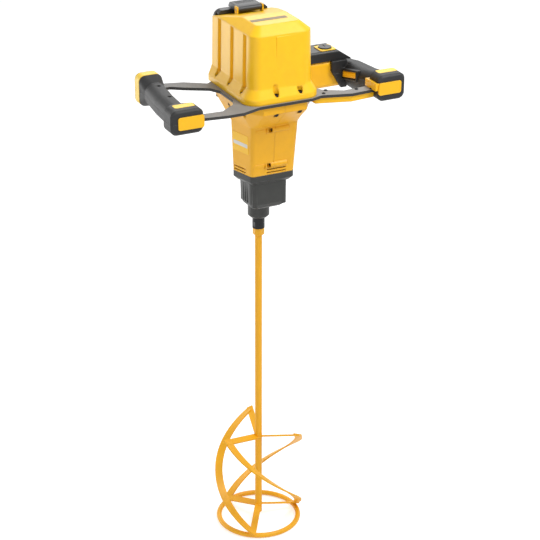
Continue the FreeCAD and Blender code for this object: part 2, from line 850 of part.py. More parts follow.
cover = new_body("gear_case_cover")
loft(cover, (
    (CASE_TOP, housing_outline(0, size("cover_chamfer"))),
    (CASE_TOP + " + cover_chamfer", housing_outline(0, 0)),
    (HOUSING_BOTTOM, housing_outline(0, 0)),
))
cut(cover, CASE_TOP, discs(((0, 0), (idler_x, idler_y)), small_outer / 2), "small_bearing_width")
cut(cover, ROTOR_BEARING_BOTTOM, disc(0, motor_y, size("rotor_bearing_outer") / 2), "rotor_bearing_width")
cut(cover, CASE_TOP, disc(0, motor_y, size("rotor_bearing_outer") / 2 - size("bearing_lip")),
    "cover_thickness")
cut(cover, CASE_TOP, discs(case_screw_places, screw_hole), "cover_thickness")
cut(cover, CASE_TOP + " + bolt_floor", discs(case_screw_places, head_hole), "cover_thickness")


def copies_at(label, shape, places):
    """Identical pieces as one group."""
    copies = []
    for place in places:
        copy = shape.copy()
        copy.translate(Vector(*place))
        copies.append(copy)
    return feature(label, Part.makeCompound(copies))


def screw_group(label, places, shank):
    """Upright screws with a slot across the head."""
    slot = size("driver_slot")
    tall = size("small_head_height")
    head = Part.makeCylinder(screw_head, tall)
    groove = Part.makeBox(screw_head, slot, slot, Vector(-screw_head / 2, -slot / 2, tall - slot))
    stem = Part.makeCylinder(screw_radius, number(shank), Vector(0, 0, -number(shank)))
    return copies_at(label, head.cut(groove).fuse(stem).removeSplitter(), places)


case_screw_seat = number(CASE_TOP + " + bolt_floor")
screw_group("gear_case_screws", [(x, y, case_screw_seat) for x, y in case_screw_places], "small_screw_length")


# gears

def gear_shape(teeth, module, width, bore, tooth_angle):
    """Involute spur gear, one tooth centred on the given angle."""
    pressure = math.radians(25)
    pitch_radius = teeth * module / 2
    base = pitch_radius * math.cos(pressure)
    tip = pitch_radius + module
    root = pitch_radius - 1.25 * module
    involute = math.tan(pressure) - pressure
    half = math.pi / (2 * teeth) - size("tooth_backlash") / (2 * pitch_radius) + involute

    def flank_angle(radius):
        if radius <= base:
            return half
        roll = math.acos(base / radius)
        return half - (math.tan(roll) - roll)

    def spot(radius, angle):
        return Vector(radius * math.cos(angle), radius * math.sin(angle), 0)

    start = max(base, root)
    radii = [start + (tip - start) * step / 5.0 for step in range(6)]
    edges = []
    pitch = 2 * math.pi / teeth
    for tooth in range(teeth):
        middle = math.radians(tooth_angle) + tooth * pitch
        rising = [spot(radius, middle - flank_angle(radius)) for radius in radii]
        falling = [spot(radius, middle + flank_angle(radius)) for radius in reversed(radii)]
        foot_in = spot(root, middle - flank_angle(root))
        foot_out = spot(root, middle + flank_angle(root))
        if root < base:
            edges.append(Part.makeLine(foot_in, rising[0]))
        curve = Part.BSplineCurve()
        curve.interpolate(rising)
        edges.append(curve.toShape())
        edges.append(Part.Arc(rising[-1], spot(tip, middle), falling[0]).toShape())
        curve = Part.BSplineCurve()
        curve.interpolate(falling)
        edges.append(curve.toShape())
        if root < base:
            edges.append(Part.makeLine(falling[-1], foot_out))
        next_in = spot(root, middle + pitch - flank_angle(root))
        edges.append(Part.Arc(foot_out, spot(root, middle + pitch / 2), next_in).toShape())
    face = Part.Face(Part.Wire(edges))
    blank = face.extrude(Vector(0, 0, width))
    return blank.cut(Part.makeCylinder(bore, width))


pinion_teeth = int(size("pinion_teeth"))
idler_teeth = int(size("idler_teeth"))
output_teeth = int(size("output_teeth"))
coarse_way = math.degrees(math.atan2(idler_y, idler_x))
fine_way = math.degrees(math.atan2(motor_y - idler_y, -idler_x))


def placed_gear(label, shape, x, y, bottom):
    return feature(label, shape, Vector(x, y, number(bottom)))


coarse = size("coarse_module")
fine = size("fine_module")
extra = size("pinion_extra")
half_pitch = 180 + 180.0 / pinion_teeth
GEAR_STEP = " - moving_gap - moving_gap"
output_bore = size("gear_seat_diameter") / 2
output_wide = size("output_width")
output_shape = gear_shape(output_teeth, coarse, output_wide, output_bore, coarse_way)
placed_gear("output_gear", output_shape, 0, 0, OUTPUT_BOTTOM)
pinion_shape = gear_shape(pinion_teeth, coarse, output_wide + extra, journal / 2, coarse_way + half_pitch)
placed_gear("idler_pinion", pinion_shape, idler_x, idler_y, OUTPUT_BOTTOM + GEAR_STEP)
idler_wide = size("idler_width")
idler_shape = gear_shape(idler_teeth, fine, idler_wide, journal / 2, fine_way)
placed_gear("idler_gear", idler_shape, idler_x, idler_y, IDLER_BOTTOM)
rotor_pinion_bore = journal / 2 - size("rotor_step")
motor_way = fine_way + half_pitch
motor_shape = gear_shape(pinion_teeth, fine, idler_wide + extra, rotor_pinion_bore, motor_way)
placed_gear("motor_pinion", motor_shape, 0, motor_y, IDLER_BOTTOM + GEAR_STEP)

idler_shaft = new_body("idler_shaft")
IDLER_FOOT = CASE_FLOOR + " - small_bearing_width + moving_gap"
pad(idler_shaft, IDLER_FOOT, disc(idler_x, idler_y, journal / 2),
    "case_height - case_floor + small_bearing_width + small_bearing_width - moving_gap - moving_gap")
spacer_radius = journal / 2 + size("spacer_wall")
pad(idler_shaft, OUTPUT_TOP + " + moving_gap + moving_gap", disc(idler_x, idler_y, spacer_radius),
    "gear_level_gap - moving_gap - moving_gap")


# motor

stator_radius = size("stator_outer") / 2
stator = new_body("stator_core")
pad(stator, STATOR_BOTTOM, disc(0, motor_y, stator_radius), STATOR_LONG)
cut(stator, STATOR_BOTTOM, disc(0, motor_y, size("stator_inner") / 2), STATOR_LONG)


def spoke_rectangle(angle, inner, outer, width):
    way = Vector(math.cos(angle), math.sin(angle), 0)
    side = Vector(-way.y, way.x, 0)
    points = []
    for reach, across in ((inner, -1), (outer, -1), (outer, 1), (inner, 1)):
        spot = way * reach + side * (across * width / 2)
        points.append((spot.x, spot.y + motor_y))
    return polygon(points)


slot_turns = [2 * math.pi * step / size("stator_slots") for step in range(int(size("stator_slots")))]
slots = []
for turn in slot_turns:
    slots += spoke_rectangle(turn, size("slot_inner"), size("slot_outer"), size("slot_width"))
cut(stator, STATOR_BOTTOM, slots, STATOR_LONG)

coils = new_body("stator_coils")
coil_outer = size("slot_outer") - size("hole_gap")
coil_inner = size("slot_inner") + size("hole_gap")
coil_ring = disc(0, motor_y, coil_outer) + disc(0, motor_y, coil_inner)
pad(coils, STATOR_BOTTOM + " - coil_overhang", coil_ring, "coil_overhang")
bar_width = size("slot_width") - 2 * size("hole_gap")
coil_edge = size("coil_edge")
bars = []
for turn in slot_turns:
    bars += spoke_rectangle(turn, coil_inner + coil_edge, coil_outer - coil_edge, bar_width)
pad(coils, STATOR_BOTTOM + " - moving_gap", bars, STATOR_LONG + " + moving_gap + moving_gap")
pad(coils, STATOR_TOP, coil_ring, "coil_overhang")

rotor_radius = size("stator_inner") / 2 - size("air_gap")
rotor_shaft = new_body("rotor_shaft")
ROTOR_FOOT = IDLER_BOTTOM + " - moving_gap - moving_gap"
ROTOR_STEP = ROTOR_BEARING_BOTTOM + " - moving_gap"
foot_long = number(ROTOR_STEP) - number(ROTOR_FOOT) + size("moving_gap")
pad(rotor_shaft, ROTOR_FOOT, disc(0, motor_y, rotor_pinion_bore), "%.4f" % foot_long)
rotor_long = number(BRIDGE_TOP) - number(ROTOR_STEP) - size("moving_gap")
pad(rotor_shaft, ROTOR_STEP, disc(0, motor_y, journal / 2), "%.4f" % rotor_long)

rotor_core = new_body("rotor_core")
pad(rotor_core, STATOR_BOTTOM, disc(0, motor_y, rotor_radius), STATOR_LONG)
cut(rotor_core, STATOR_BOTTOM, disc(0, motor_y, journal / 2), STATOR_LONG)

fan = new_body("cooling_fan")
fan_radius = size("fan_diameter") / 2
pad(fan, FAN_BOTTOM, disc(0, motor_y, fan_radius), "fan_height / 4")
pad(fan, FAN_BOTTOM, disc(0, motor_y, journal), "fan_height")
vanes = []
for step in range(int(size("fan_blades"))):
    turn = 2 * math.pi * step / size("fan_blades")
    vanes += spoke_rectangle(turn, journal * 0.9, fan_radius - size("moving_gap"), size("fan_vane"))
pad(fan, FAN_BOTTOM, vanes, "fan_height")
cut(fan, FAN_BOTTOM, disc(0, motor_y, journal / 2), "fan_height")


# motor housing, in a left and a right half

LOWER_FLANGE = PLATE_BOTTOM + " - lower_flange_height"
SLOPE_BOTTOM = LOWER_FLANGE + " - housing_slope"
boss_radius = size("housing_boss_diameter") / 2
boss_inset = size("housing_boss_inset")
screw_seat = size("small_head_height") - size("screw_pocket_right")


def flare_share(level):
    """Share of the housing's flare that is reached at a level."""
    low = number(HOUSING_BOTTOM)
    return min(1.0, (number(level) - low) / (number(SLOPE_BOTTOM) - low))


screw_spots = []
pockets = []
for boss_level in (HOUSING_BOTTOM + " + housing_screw_low", SLOPE_BOTTOM + " - housing_screw_drop"):
    boss_z = number(boss_level)
    front_face, back_face = housing_reach(flare_share(boss_level))
    screw_spots += [(front_face + boss_inset, boss_z), (back_face - boss_inset, boss_z)]
    near = front_face - boss_radius
    pockets += rectangle(near, front_face + boss_inset, boss_z - head_hole, boss_z + head_hole)
    far = back_face + boss_radius
    pockets += rectangle(back_face - boss_inset, far, boss_z - head_hole, boss_z + head_hole)


def lower_outline(inset):
    """Flange under the plate, with cut corners."""
    half = bolt_side + size("lower_edge") - inset
    front = bolt_front + size("lower_edge") - inset
    back = size("box_back") - inset
    return chamfered(-half, half, -front, back, size("lower_corner_x"), size("lower_corner_y"))


def web_outline(level):
    """Wall to wall inside the flared housing at a level."""
    return housing_outline(flare_share(level), size("housing_wall") / 2)


def housing_half(label, side):
    half = new_body(label)
    wall = size("housing_wall")
    loft(half, (
        (HOUSING_BOTTOM, housing_outline(0, 0)),
        (SLOPE_BOTTOM, housing_outline(1, 0)),
        (LOWER_FLANGE, lower_outline(0)),
        (PLATE_BOTTOM, lower_outline(0)),
    ))
    loft(half, (
        (HOUSING_BOTTOM, housing_outline(0, wall)),
        (SLOPE_BOTTOM, housing_outline(1, wall)),
        (LOWER_FLANGE, lower_outline(wall)),
        (PLATE_BOTTOM, lower_outline(wall)),
    ), hollow=True)
    for level in (STATOR_BOTTOM, STATOR_TOP + " - web_thickness"):
        pad(half, level, web_outline(level), "web_thickness")
    pad(half, BRIDGE_BOTTOM, web_outline(BRIDGE_BOTTOM), "bridge_thickness")
    boss_long = "housing_boss_left + housing_boss_right"
    pad(half, "- housing_boss_left", discs(screw_spots, boss_radius), boss_long, "YZ_Plane")
    own_bolts = [spot for spot in bolt_places if spot[0] * side < 0]
    pad(half, LOWER_FLANGE, discs(own_bolts, size("lower_edge")), "lower_flange_height")
    cut(half, STATOR_BOTTOM, disc(0, motor_y, stator_radius), STATOR_LONG)
    cut(half, BRIDGE_BOTTOM, disc(0, motor_y, small_outer / 2 - size("bearing_lip")), "bridge_thickness")
    cut(half, BRIDGE_TOP + " - small_bearing_width", disc(0, motor_y, small_outer / 2), "small_bearing_width")
    place = size("air_hole_place")
    air_holes = [(-side * place, motor_y - place), (-side * place, motor_y + place)]
    cut(half, BRIDGE_BOTTOM, discs(air_holes, size("air_hole_diameter") / 2), "bridge_thickness")
    cut(half, SLOPE_BOTTOM, discs(own_bolts, bolt_hole), "housing_slope + lower_flange_height")
    cut(half, SLOPE_BOTTOM, discs(own_bolts, size("bolt_recess_diameter") / 2), "housing_slope")
    pocket_long = "screw_pocket_left - screw_pocket_right"
    cut(half, "- screw_pocket_left", pockets, pocket_long, "YZ_Plane")
    head_long = pocket_long + " + small_head_height"
    cut(half, "- screw_pocket_left", discs(screw_spots, head_hole), head_long, "YZ_Plane")
    stem_long = "small_head_height + small_screw_length"
    cut(half, "- screw_pocket_right", discs(screw_spots, screw_hole), stem_long, "YZ_Plane")
    vent = size("vent_length") / 2
    shift = size("vent_shift")
    front_vents = []
    side_vents = []
    for step in (0, 1):
        low = number(HOUSING_BOTTOM + " + vent_lift") + step * size("vent_pitch")
        high = low + size("vent_height")
        front_vents += rectangle(shift - vent, shift + vent, low, high)
        side_vents += rectangle(-size("side_vent_front"), -size("side_vent_back"), low, high)
    cut(half, "housing_front - housing_wall - housing_wall", front_vents, "vent_depth", "XZ_Plane")
    start = "- housing_width" if side > 0 else "side_vent_inner"
    cut(half, start, side_vents, "housing_width - side_vent_inner", "YZ_Plane")
    far = side * size("box_width")
    reach = size("box_front") + size("box_back")
    cut(half, HOUSING_BOTTOM, rectangle(min(0, far), max(0, far), -reach, reach), "housing_height")
    return half


housing_half("motor_housing_left", 1)
housing_half("motor_housing_right", -1)

along_x = Vector(1, 0, 0)
head_start = Vector(screw_seat - size("small_head_height"), 0, 0)
housing_screw = Part.makeCylinder(screw_head, size("small_head_height"), head_start, along_x)
stem = Part.makeCylinder(screw_radius, size("small_screw_length"), Vector(screw_seat, 0, 0), along_x)
housing_screw = housing_screw.fuse(stem).removeSplitter()
copies_at("housing_screws", housing_screw, [(0, y, z) for y, z in screw_spots])

control = new_body("control_module")
control_half = size("control_width") / 2
control_reach = size("control_depth") / 2
CONTROL_BOTTOM = PLATE_BOTTOM + " - control_height"
control_face = rounded(-control_half, control_half, motor_y - control_reach, motor_y + control_reach,
                       size("neck_chamfer"))
pad(control, CONTROL_BOTTOM, control_face, "control_height")
fin_half = size("control_fin_width") / 2
fins = []
for step in (-2, -1, 0, 1, 2):
    fin_y = motor_y + step * size("control_fin_pitch")
    fins += rectangle(-control_half * 0.9, control_half * 0.9, fin_y - fin_half, fin_y + fin_half)
pad(control, CONTROL_BOTTOM + " - control_fin_height", fins, "control_fin_height + control_fin_height / 4")


# frame plate

left_end = -size("arm_left_reach")
right_end = size("arm_right_reach")
waist = flange_half + size("plate_margin")
plate_front = -flange_front - size("plate_lip")
plate_back = size("box_back") - size("plate_back_inset")
arm = size("arm_width")
neck_arm = size("neck_arm_width") / 2
neck_mid = (size("neck_front") + size("neck_back")) / 2
left_front = -size("left_arm_front")
left_bend = -size("left_arm_bend")
left_back = size("left_arm_back")
right_front = -size("right_arm_front")
right_bend = size("right_arm_bend")
bow = size("arm_bow")
root = size("arm_root")
inner_front = plate_front + size("arm_notch")
plate_points = (
    (left_end, left_front),
    (left_bend, left_front - bow),
    (-waist - root, left_front - bow),
    (-waist + 2.5 * root, plate_front),
    (waist - 2.5 * root, plate_front),
    (waist - root / 2, plate_front + 0.7 * root),
    (right_bend, right_front - bow / 2),
    (right_end, right_front),
    (right_end, right_front + arm),
    (right_bend - root / 2, right_front - bow / 2 + arm),
    (waist + root, inner_front - 2 * root),
    (waist, inner_front),
    (waist, neck_mid - neck_arm - root),
    (waist + root, neck_mid - neck_arm),
    (right_end - 2 * root, neck_mid - neck_arm),
    (right_end - 2 * root, neck_mid + neck_arm),
    (waist - 1.5 * root, plate_back),
    (-waist + 2.5 * root, plate_back),
    (-waist - root / 3, left_back - 1.6 * arm),
    (left_bend, left_back - bow),
    (left_bend - 3 * root, left_back),
    (left_end, left_back),
    (left_end, left_back - arm),
    (left_bend - 3 * root, left_back - arm),
    (left_bend - root, left_back - 1.7 * arm),
    (-waist - root, left_back - 2.8 * arm),
    (-waist, left_back - 3.8 * arm),
    (-waist, inner_front),
    (-waist - root, inner_front - 2 * root),
    (left_bend, left_front + 0.7 * arm),
    (left_end, left_front + 0.9 * arm),
)
plate = new_body("frame_plate")
pad(plate, PLATE_BOTTOM, polygon(plate_points), "plate_thickness")
plate_holes = discs(bolt_places, bolt_hole) + disc(0, size("cable_hole_place"), size("cable_hole") / 2)
cut(plate, PLATE_BOTTOM, plate_holes, "plate_thickness")


# battery box

def roof_height(y):
    """Height of the rear part of the roof, which falls towards the door."""
    share = (y + size("roof_fall_start")) / (size("box_back") + size("roof_fall_start"))
    return number(ROOF) - size("roof_drop") * share


def roof_outline():
    half = size("box_width") / 2 - size("box_draft") - size("roof_inset")
    front = size("box_front") - size("roof_front_inset")
    back = size("box_back") - size("box_draft")
    return rounded(-half, half, -front, back, size("roof_corner"), size("roof_corner") / 3)


box = new_body("battery_box")
pad(box, PLATE_TOP, flange_outline(0), "flange_height")
loft(box, (
    (FLANGE_TOP, flange_outline(0)),
    (WALL_BOTTOM, box_outline(0)),
    (EAVE, box_outline(size("box_draft"))),
    (ROOF, roof_outline()),
))
fall_start = -size("roof_fall_start")
beyond = size("box_back") + size("box_wall")
sky = number(ROOF + " + box_height")
fall = ((fall_start, number(ROOF)), (beyond, roof_height(beyond)), (beyond, sky), (fall_start, sky))
cut(box, "- box_width", polygon(fall), "box_width + box_width", "YZ_Plane")
groove_half = size("groove_width") / 2
grooves = []
outer = size("box_width") / 2 + size("box_wall")
inner = size("box_width") / 2 - size("groove_depth")
for y in rib_places:
    grooves += rectangle(-outer, -inner, y - groove_half, y + groove_half)
    grooves += rectangle(inner, outer, y - groove_half, y + groove_half)
cut(box, WALL_BOTTOM + " - flange_slope / 4", grooves,
    "box_height - eave_drop - groove_stop - flange_height - flange_slope + flange_slope / 4")
latch_y = size("latch_pin_place")
latch_z = number(ROOF + " - latch_pin_drop")
fin_near = size("latch_width") / 2 + size("moving_gap")
fin_far = fin_near + size("fin_thickness")
fin_reach = size("fin_length") / 2
guards = rectangle(-fin_far, -fin_near, latch_y - fin_reach, latch_y + fin_reach)
guards += rectangle(fin_near, fin_far, latch_y - fin_reach, latch_y + fin_reach)
pad(box, ROOF + " - roof_drop", guards, "roof_drop + fin_rise")
cut(box, PLATE_TOP, box_outline(size("box_wall") + size("groove_depth")), "box_height - roof_drop - box_wall")
door_half = size("box_width") / 2 - size("door_inset")
open_half = door_half - size("opening_inset")
open_low = number(PLATE_TOP + " + opening_foot")
open_high = number(ROOF + " - opening_head")
cut(box, "- box_back - box_wall", rounded(-open_half, open_half, open_low, open_high, size("opening_corner")),
    "box_wall + box_wall + groove_depth + box_wall", "XZ_Plane")
hinge_z = number(PLATE_TOP + " + hinge_height")
hinge_y = size("box_back") + size("door_gap") + size("door_thickness") / 2 + size("hinge_offset")
barrel = size("hinge_barrel_diameter") / 2
pin_radius = size("hinge_pin_diameter") / 2
lug_half = size("hinge_barrel_length") / 2 + size("moving_gap")
lugs = []
for side in (-1, 1):
    for way in (-1, 1):
        near = side * size("hinge_spread") + way * lug_half
        far = near + way * size("hinge_lug_width")
        lugs += rectangle(min(near, far), max(near, far), hinge_z - barrel, hinge_z + barrel)
lug_reach = hinge_y + barrel
pad(box, "%.4f" % -lug_reach, lugs, "%.4f" % (lug_reach - size("box_back") + size("box_wall")), "XZ_Plane")
pin_half = size("hinge_spread") + lug_half + size("hinge_lug_width")
cut(box, "%.4f" % -pin_half, disc(hinge_y, hinge_z, pin_radius), "%.4f" % (2 * pin_half), "YZ_Plane")
latch_pin_radius = size("latch_pin_diameter") / 2
cut(box, "- latch_width", disc(latch_y, latch_z, latch_pin_radius), "latch_width + latch_width", "YZ_Plane")
cut(box, PLATE_TOP, discs(bolt_places, bolt_hole), "bolt_seat_height")
cut(box, PLATE_TOP + " + bolt_seat_height", discs(bolt_places, size("bolt_recess_diameter") / 2),
    "bolt_head_height + flange_slope")

hinge_pin = new_body("door_hinge_pin")
pad(hinge_pin, "%.4f" % -pin_half, disc(hinge_y, hinge_z, pin_radius), "%.4f" % (2 * pin_half), "YZ_Plane")
latch_pin = new_body("latch_pin")
latch_axle = disc(latch_y, latch_z, latch_pin_radius)
pad(latch_pin, "%.4f" % -fin_far, latch_axle, "%.4f" % (2 * fin_far), "YZ_Plane")


# rear door, latch and battery

door = new_body("rear_door")
DOOR_BACK = "- box_back - door_gap - door_thickness"
door_low = number(PLATE_TOP + " + door_foot")
door_top = number(ROOF + " - door_drop")
door_face = size("box_back") + size("door_gap")
door_back = door_face + size("door_thickness")
door_corner = size("door_corner")
door_outline = rounded(-door_half, door_half, door_low, door_top, door_corner)
pad(door, DOOR_BACK, door_outline, "door_thickness", "XZ_Plane")
soften(door, "Fillet", "door_thickness / 3", lambda edge: abs(edge.BoundBox.YMin - door_back) < 1e-4)
lip_front = door_face - size("door_lip")
lip_low = roof_height(lip_front) + size("moving_gap")
lip_half = door_half - size("door_lip_inset")
lip_cut = door_corner / 3
lip = polygon((
    (-lip_half, lip_low), (lip_half, lip_low), (lip_half, door_top - lip_cut), (lip_half - lip_cut, door_top),
    (lip_cut - lip_half, door_top), (-lip_half, door_top - lip_cut),
))
pad(door, "- box_back - door_gap - door_rib_height", lip, "door_lip + door_rib_height", "XZ_Plane")
door_middle = (door_face + hinge_y) / 2
for side in (-1, 1):
    start = "%.4f" % (side * size("hinge_spread") - size("hinge_barrel_length") / 2)
    pad(door, start, disc(hinge_y, hinge_z, barrel), "hinge_barrel_length", "YZ_Plane")
    strap = rectangle(door_middle, hinge_y + pin_radius, hinge_z, door_low + door_corner)
    pad(door, start, strap, "hinge_barrel_length", "YZ_Plane")
rib_half = size("door_rib_width") / 2
door_ribs = []
for step in (-2, -1, 0, 1, 2):
    rib_x = step * size("door_rib_pitch")
    door_ribs += rounded(rib_x - rib_half, rib_x + rib_half, door_low + door_corner, door_top - door_corner,
                         rib_half / 2)
pad(door, DOOR_BACK + " - door_rib_height", door_ribs, "door_rib_height + door_rib_height", "XZ_Plane")
hinge_bore = disc(hinge_y, hinge_z, pin_radius + size("running_gap"))
cut(door, "%.4f" % -pin_half, hinge_bore, "%.4f" % (2 * pin_half), "YZ_Plane")

gasket = new_body("door_seal")
seal_half = open_half - size("seal_inset")
seal_in = seal_half - size("seal_width")
seal_low = door_low + size("seal_inset")
seal_high = open_high - 2 * size("seal_inset")
seal_face = rounded(-seal_half, seal_half, seal_low, seal_high, size("opening_corner") * 0.75)
seal_face += rounded(-seal_in, seal_in, seal_low + size("seal_width"), seal_high - size("seal_width"),
                     size("opening_corner") * 0.4)
pad(gasket, "- box_back - door_gap", seal_face, "seal_width", "XZ_Plane")

latch = new_body("latch")
latch_boss = size("latch_boss")
latch_low = latch_z - latch_boss
latch_step = door_top + size("latch_lip_gap")
latch_high = number(ROOF + " + latch_rise")
latch_back = latch_y + size("latch_length")
latch_stop = lip_front - size("latch_lip_gap")
latch_face = polygon((
    (latch_y, latch_low),
    (latch_stop, latch_low),
    (latch_stop, latch_step),
    (latch_back, latch_step),
    (latch_back, latch_step + latch_boss / 2),
    (latch_back - latch_boss, latch_high),
    (latch_y + latch_boss, latch_high),
    (latch_y, latch_z + latch_boss),
))
LATCH_LEFT = "- latch_width / 2"
pad(latch, LATCH_LEFT, latch_face, "latch_width", "YZ_Plane")
pad(latch, LATCH_LEFT, disc(latch_y, latch_z, latch_boss), "latch_width", "YZ_Plane")
latch_bore = disc(latch_y, latch_z, latch_pin_radius + size("running_gap"))
cut(latch, LATCH_LEFT, latch_bore, "latch_width", "YZ_Plane")
finger_width = size("finger_groove")
finger_grooves = []
for step in range(4):
    groove_y = latch_back - latch_boss - 2 * finger_width - step * 2.5 * finger_width
    finger_grooves += rectangle(groove_y, groove_y + finger_width, latch_high - finger_width / 2, sky)
cut(latch, LATCH_LEFT + " + latch_boss", finger_grooves, "latch_width - latch_boss - latch_boss", "YZ_Plane")

battery_half = size("box_width") / 2 - size("box_wall") - size("groove_depth") - size("battery_room")
battery_back = size("box_back") - size("battery_back_room")
battery_front = -size("box_front") + size("battery_front_room")
battery_tall = "box_height - battery_base - battery_head"
BATTERY_BOTTOM = PLATE_TOP + " + battery_base"
BATTERY_TOP = ROOF + " - battery_head"
inset = size("terminal_inset")
base = new_body("terminal_block")
base_half = battery_half - inset
base_outline = rounded(-base_half, base_half, battery_front + inset, battery_back - inset, inset)
pad(base, PLATE_TOP, base_outline, "battery_base")
battery = new_body("battery_pack")
battery_outline = rounded(-battery_half, battery_half, battery_front, battery_back, size("battery_corner"))
pad(battery, BATTERY_BOTTOM, battery_outline, battery_tall)
soften(battery, "Fillet", "battery_corner / 2", lambda edge: flat_at(edge, number(BATTERY_TOP)))
rail_front = battery_front + size("battery_corner")
rail_back = battery_back - size("battery_corner")
for side in (-1, 1):
    outer = side * (battery_half + size("battery_rail"))
    inner = side * (battery_half - size("battery_rail"))
    rail = rectangle(min(outer, inner), max(outer, inner), rail_front, rail_back)
    cut(battery, BATTERY_BOTTOM + " + battery_corner", rail, "battery_corner")


# bolts through both flanges and the plate

def hexagon_face(reach, z):
    turns = [math.radians(60 * step) for step in range(7)]
    corners = [Vector(reach * math.cos(turn), reach * math.sin(turn), z) for turn in turns]
    return Part.Face(Part.makePolygon(corners))


bolt_seat = number(PLATE_TOP + " + bolt_seat_height")
nut_seat = number(LOWER_FLANGE)
nut_tall = size("bolt_nut_height")
bolt_long = bolt_seat - nut_seat + nut_tall + size("bolt_tail")
head_tall = size("bolt_head_height")
bolt_single = Part.makeCylinder(size("bolt_head_diameter") / 2, head_tall)
socket = hexagon_face(size("bolt_socket"), head_tall / 2)
bolt_single = bolt_single.cut(socket.extrude(Vector(0, 0, head_tall)))
bolt_stem = Part.makeCylinder(bolt_radius, bolt_long, Vector(0, 0, -bolt_long))
bolt_single = bolt_single.fuse(bolt_stem).removeSplitter()
nut_single = hexagon_face(size("bolt_nut_flats") / math.sqrt(3), 0).extrude(Vector(0, 0, nut_tall))
nut_single = nut_single.cut(Part.makeCylinder(bolt_radius, nut_tall))
copies_at("flange_bolts", bolt_single, [(x, y, bolt_seat) for x, y in bolt_places])
copies_at("flange_nuts", nut_single, [(x, y, nut_seat - nut_tall) for x, y in bolt_places])


# grips

room = size("moving_gap")
cap_w = size("cap_width")
cap_h = size("cap_height")
cap_long = size("cap_length")
cap_round = size("cap_round")
cap_end = 1.5 * cap_round
cap_corner = size("cap_corner")
grip_corner = size("grip_corner")
waist_w = size("waist_width")
waist_h = size("waist_height")
inlay_depth = size("inlay_depth")
sheet_reach = size("arm_right_reach") + size("arm_left_reach")


def grip_section(x, z, width, height, corner):
    bend = min(corner, width / 2 - room, height / 2 - room)
    return rounded(x - width / 2, x + width / 2, z - height / 2, z + height / 2, bend)


def grip_loft(body, stations):
    sections = []
    for y, x, z, width, height, corner in stations:
        sections.append(("%.4f" % -y, grip_section(x, z, width, height, corner)))
    loft(body, sections, "XZ_Plane")


def arm_slots(body):
    """Room for the plate's arm ends in a grip or neck."""
    cut(body, PLATE_BOTTOM, polygon(plate_points), "plate_thickness")


def screw_holes(body, places, upper):
    for x, y, seat in places:
        foot = "%.4f" % (seat - size("small_screw_length"))
        cut(body, foot, disc(x, y, screw_hole), "small_screw_length + cap_height")
        if upper:
            cut(body, "%.4f" % seat, disc(x, y, head_hole), "cap_height")


def keep_half(body, parting, upper):
    """Keep what lies above or below a line from the front to the rear."""
    far = plate_top - sheet_reach if upper else plate_top + sheet_reach
    area = polygon(tuple(parting) + ((parting[-1][0], far), (parting[0][0], far)))
    cut(body, "%.4f" % -sheet_reach, area, "%.4f" % (2 * sheet_reach), "YZ_Plane")


def panel(x, z, width, height):
    """Upright inlay outline in a grip's end."""
    return rounded(x - width / 2, x + width / 2, z - height / 2, z + height / 2, size("inlay_corner"))


def top_panel(x, y, width):
    half = size("top_inlay_length") / 2
    return rounded(x - width / 2, x + width / 2, y - half, y + half, size("inlay_corner"))


left_x = -size("left_front_x")
left_rear_x = -size("left_rear_x")
left_waist_x = -size("left_waist_x")
left_z = plate_top + size("cap_lift")
left_waist_z = plate_top - size("left_waist_sink")
left_rear_z = plate_top - size("left_rear_sink")
left_front_end = size("left_grip_front")
left_back_end = size("left_grip_back")
rear_w = size("rear_cap_width")
rear_h = size("rear_cap_height")
rear_long = size("rear_cap_length")
left_stations = (
    (-left_front_end, left_x, left_z, cap_w - cap_end, cap_h - cap_end, cap_corner),
    (-left_front_end + cap_round, left_x, left_z, cap_w, cap_h, cap_corner),
    (-left_front_end + cap_long, left_x, left_z, cap_w, cap_h, cap_corner),
    (-left_front_end + cap_long + size("cap_taper"), left_x, left_waist_z, waist_w, waist_h, grip_corner),
    (-size("left_waist_place"), left_waist_x, left_waist_z, waist_w, waist_h, grip_corner),
    (left_back_end - rear_long - size("cap_taper"), left_rear_x, left_waist_z, waist_w, waist_h, grip_corner),
    (left_back_end - rear_long, left_rear_x, left_rear_z, rear_w, rear_h, cap_corner),
    (left_back_end - cap_round, left_rear_x, left_rear_z, rear_w, rear_h, cap_corner),
    (left_back_end, left_rear_x, left_rear_z, rear_w - cap_end, rear_h - cap_end, cap_corner),
)
left_parting = ((-sheet_reach, plate_top), (sheet_reach, plate_top))
left_seat = number(PLATE_TOP + " + bolt_floor")
left_screws = (
    (-size("left_screw_front_x"), -size("left_screw_front"), left_seat),
    (-size("left_screw_back_x"), size("left_screw_back"), left_seat),
)
left_panel = panel(left_x + size("inlay_shift"), plate_top, size("inlay_width"), size("inlay_height"))
rear_panel = panel(left_rear_x, left_rear_z, size("rear_inlay_width"), size("inlay_height"))
left_top_panel = top_panel(left_x + size("top_inlay_shift"), -left_front_end + size("top_inlay_place"),
                           size("top_inlay_width"))
LEFT_CAP_TOP = PLATE_TOP + " + cap_lift + cap_height / 2 - inlay_depth + hole_gap"
wrap_start = left_back_end - size("wrap_margin")
wrap_left = left_rear_x - rear_w / 2 + size("wrap_depth")
wrap_top = left_rear_z + rear_h / 2 - size("wrap_depth")
wrap_right = left_rear_x + size("wrap_reach")
wrap_low = left_rear_z - size("wrap_drop")
wrap_area = polygon((
    (wrap_left, wrap_low), (wrap_left, wrap_top), (wrap_right, wrap_top), (wrap_right, wrap_top + cap_h),
    (wrap_left - cap_w, wrap_top + cap_h), (wrap_left - cap_w, wrap_low),
))
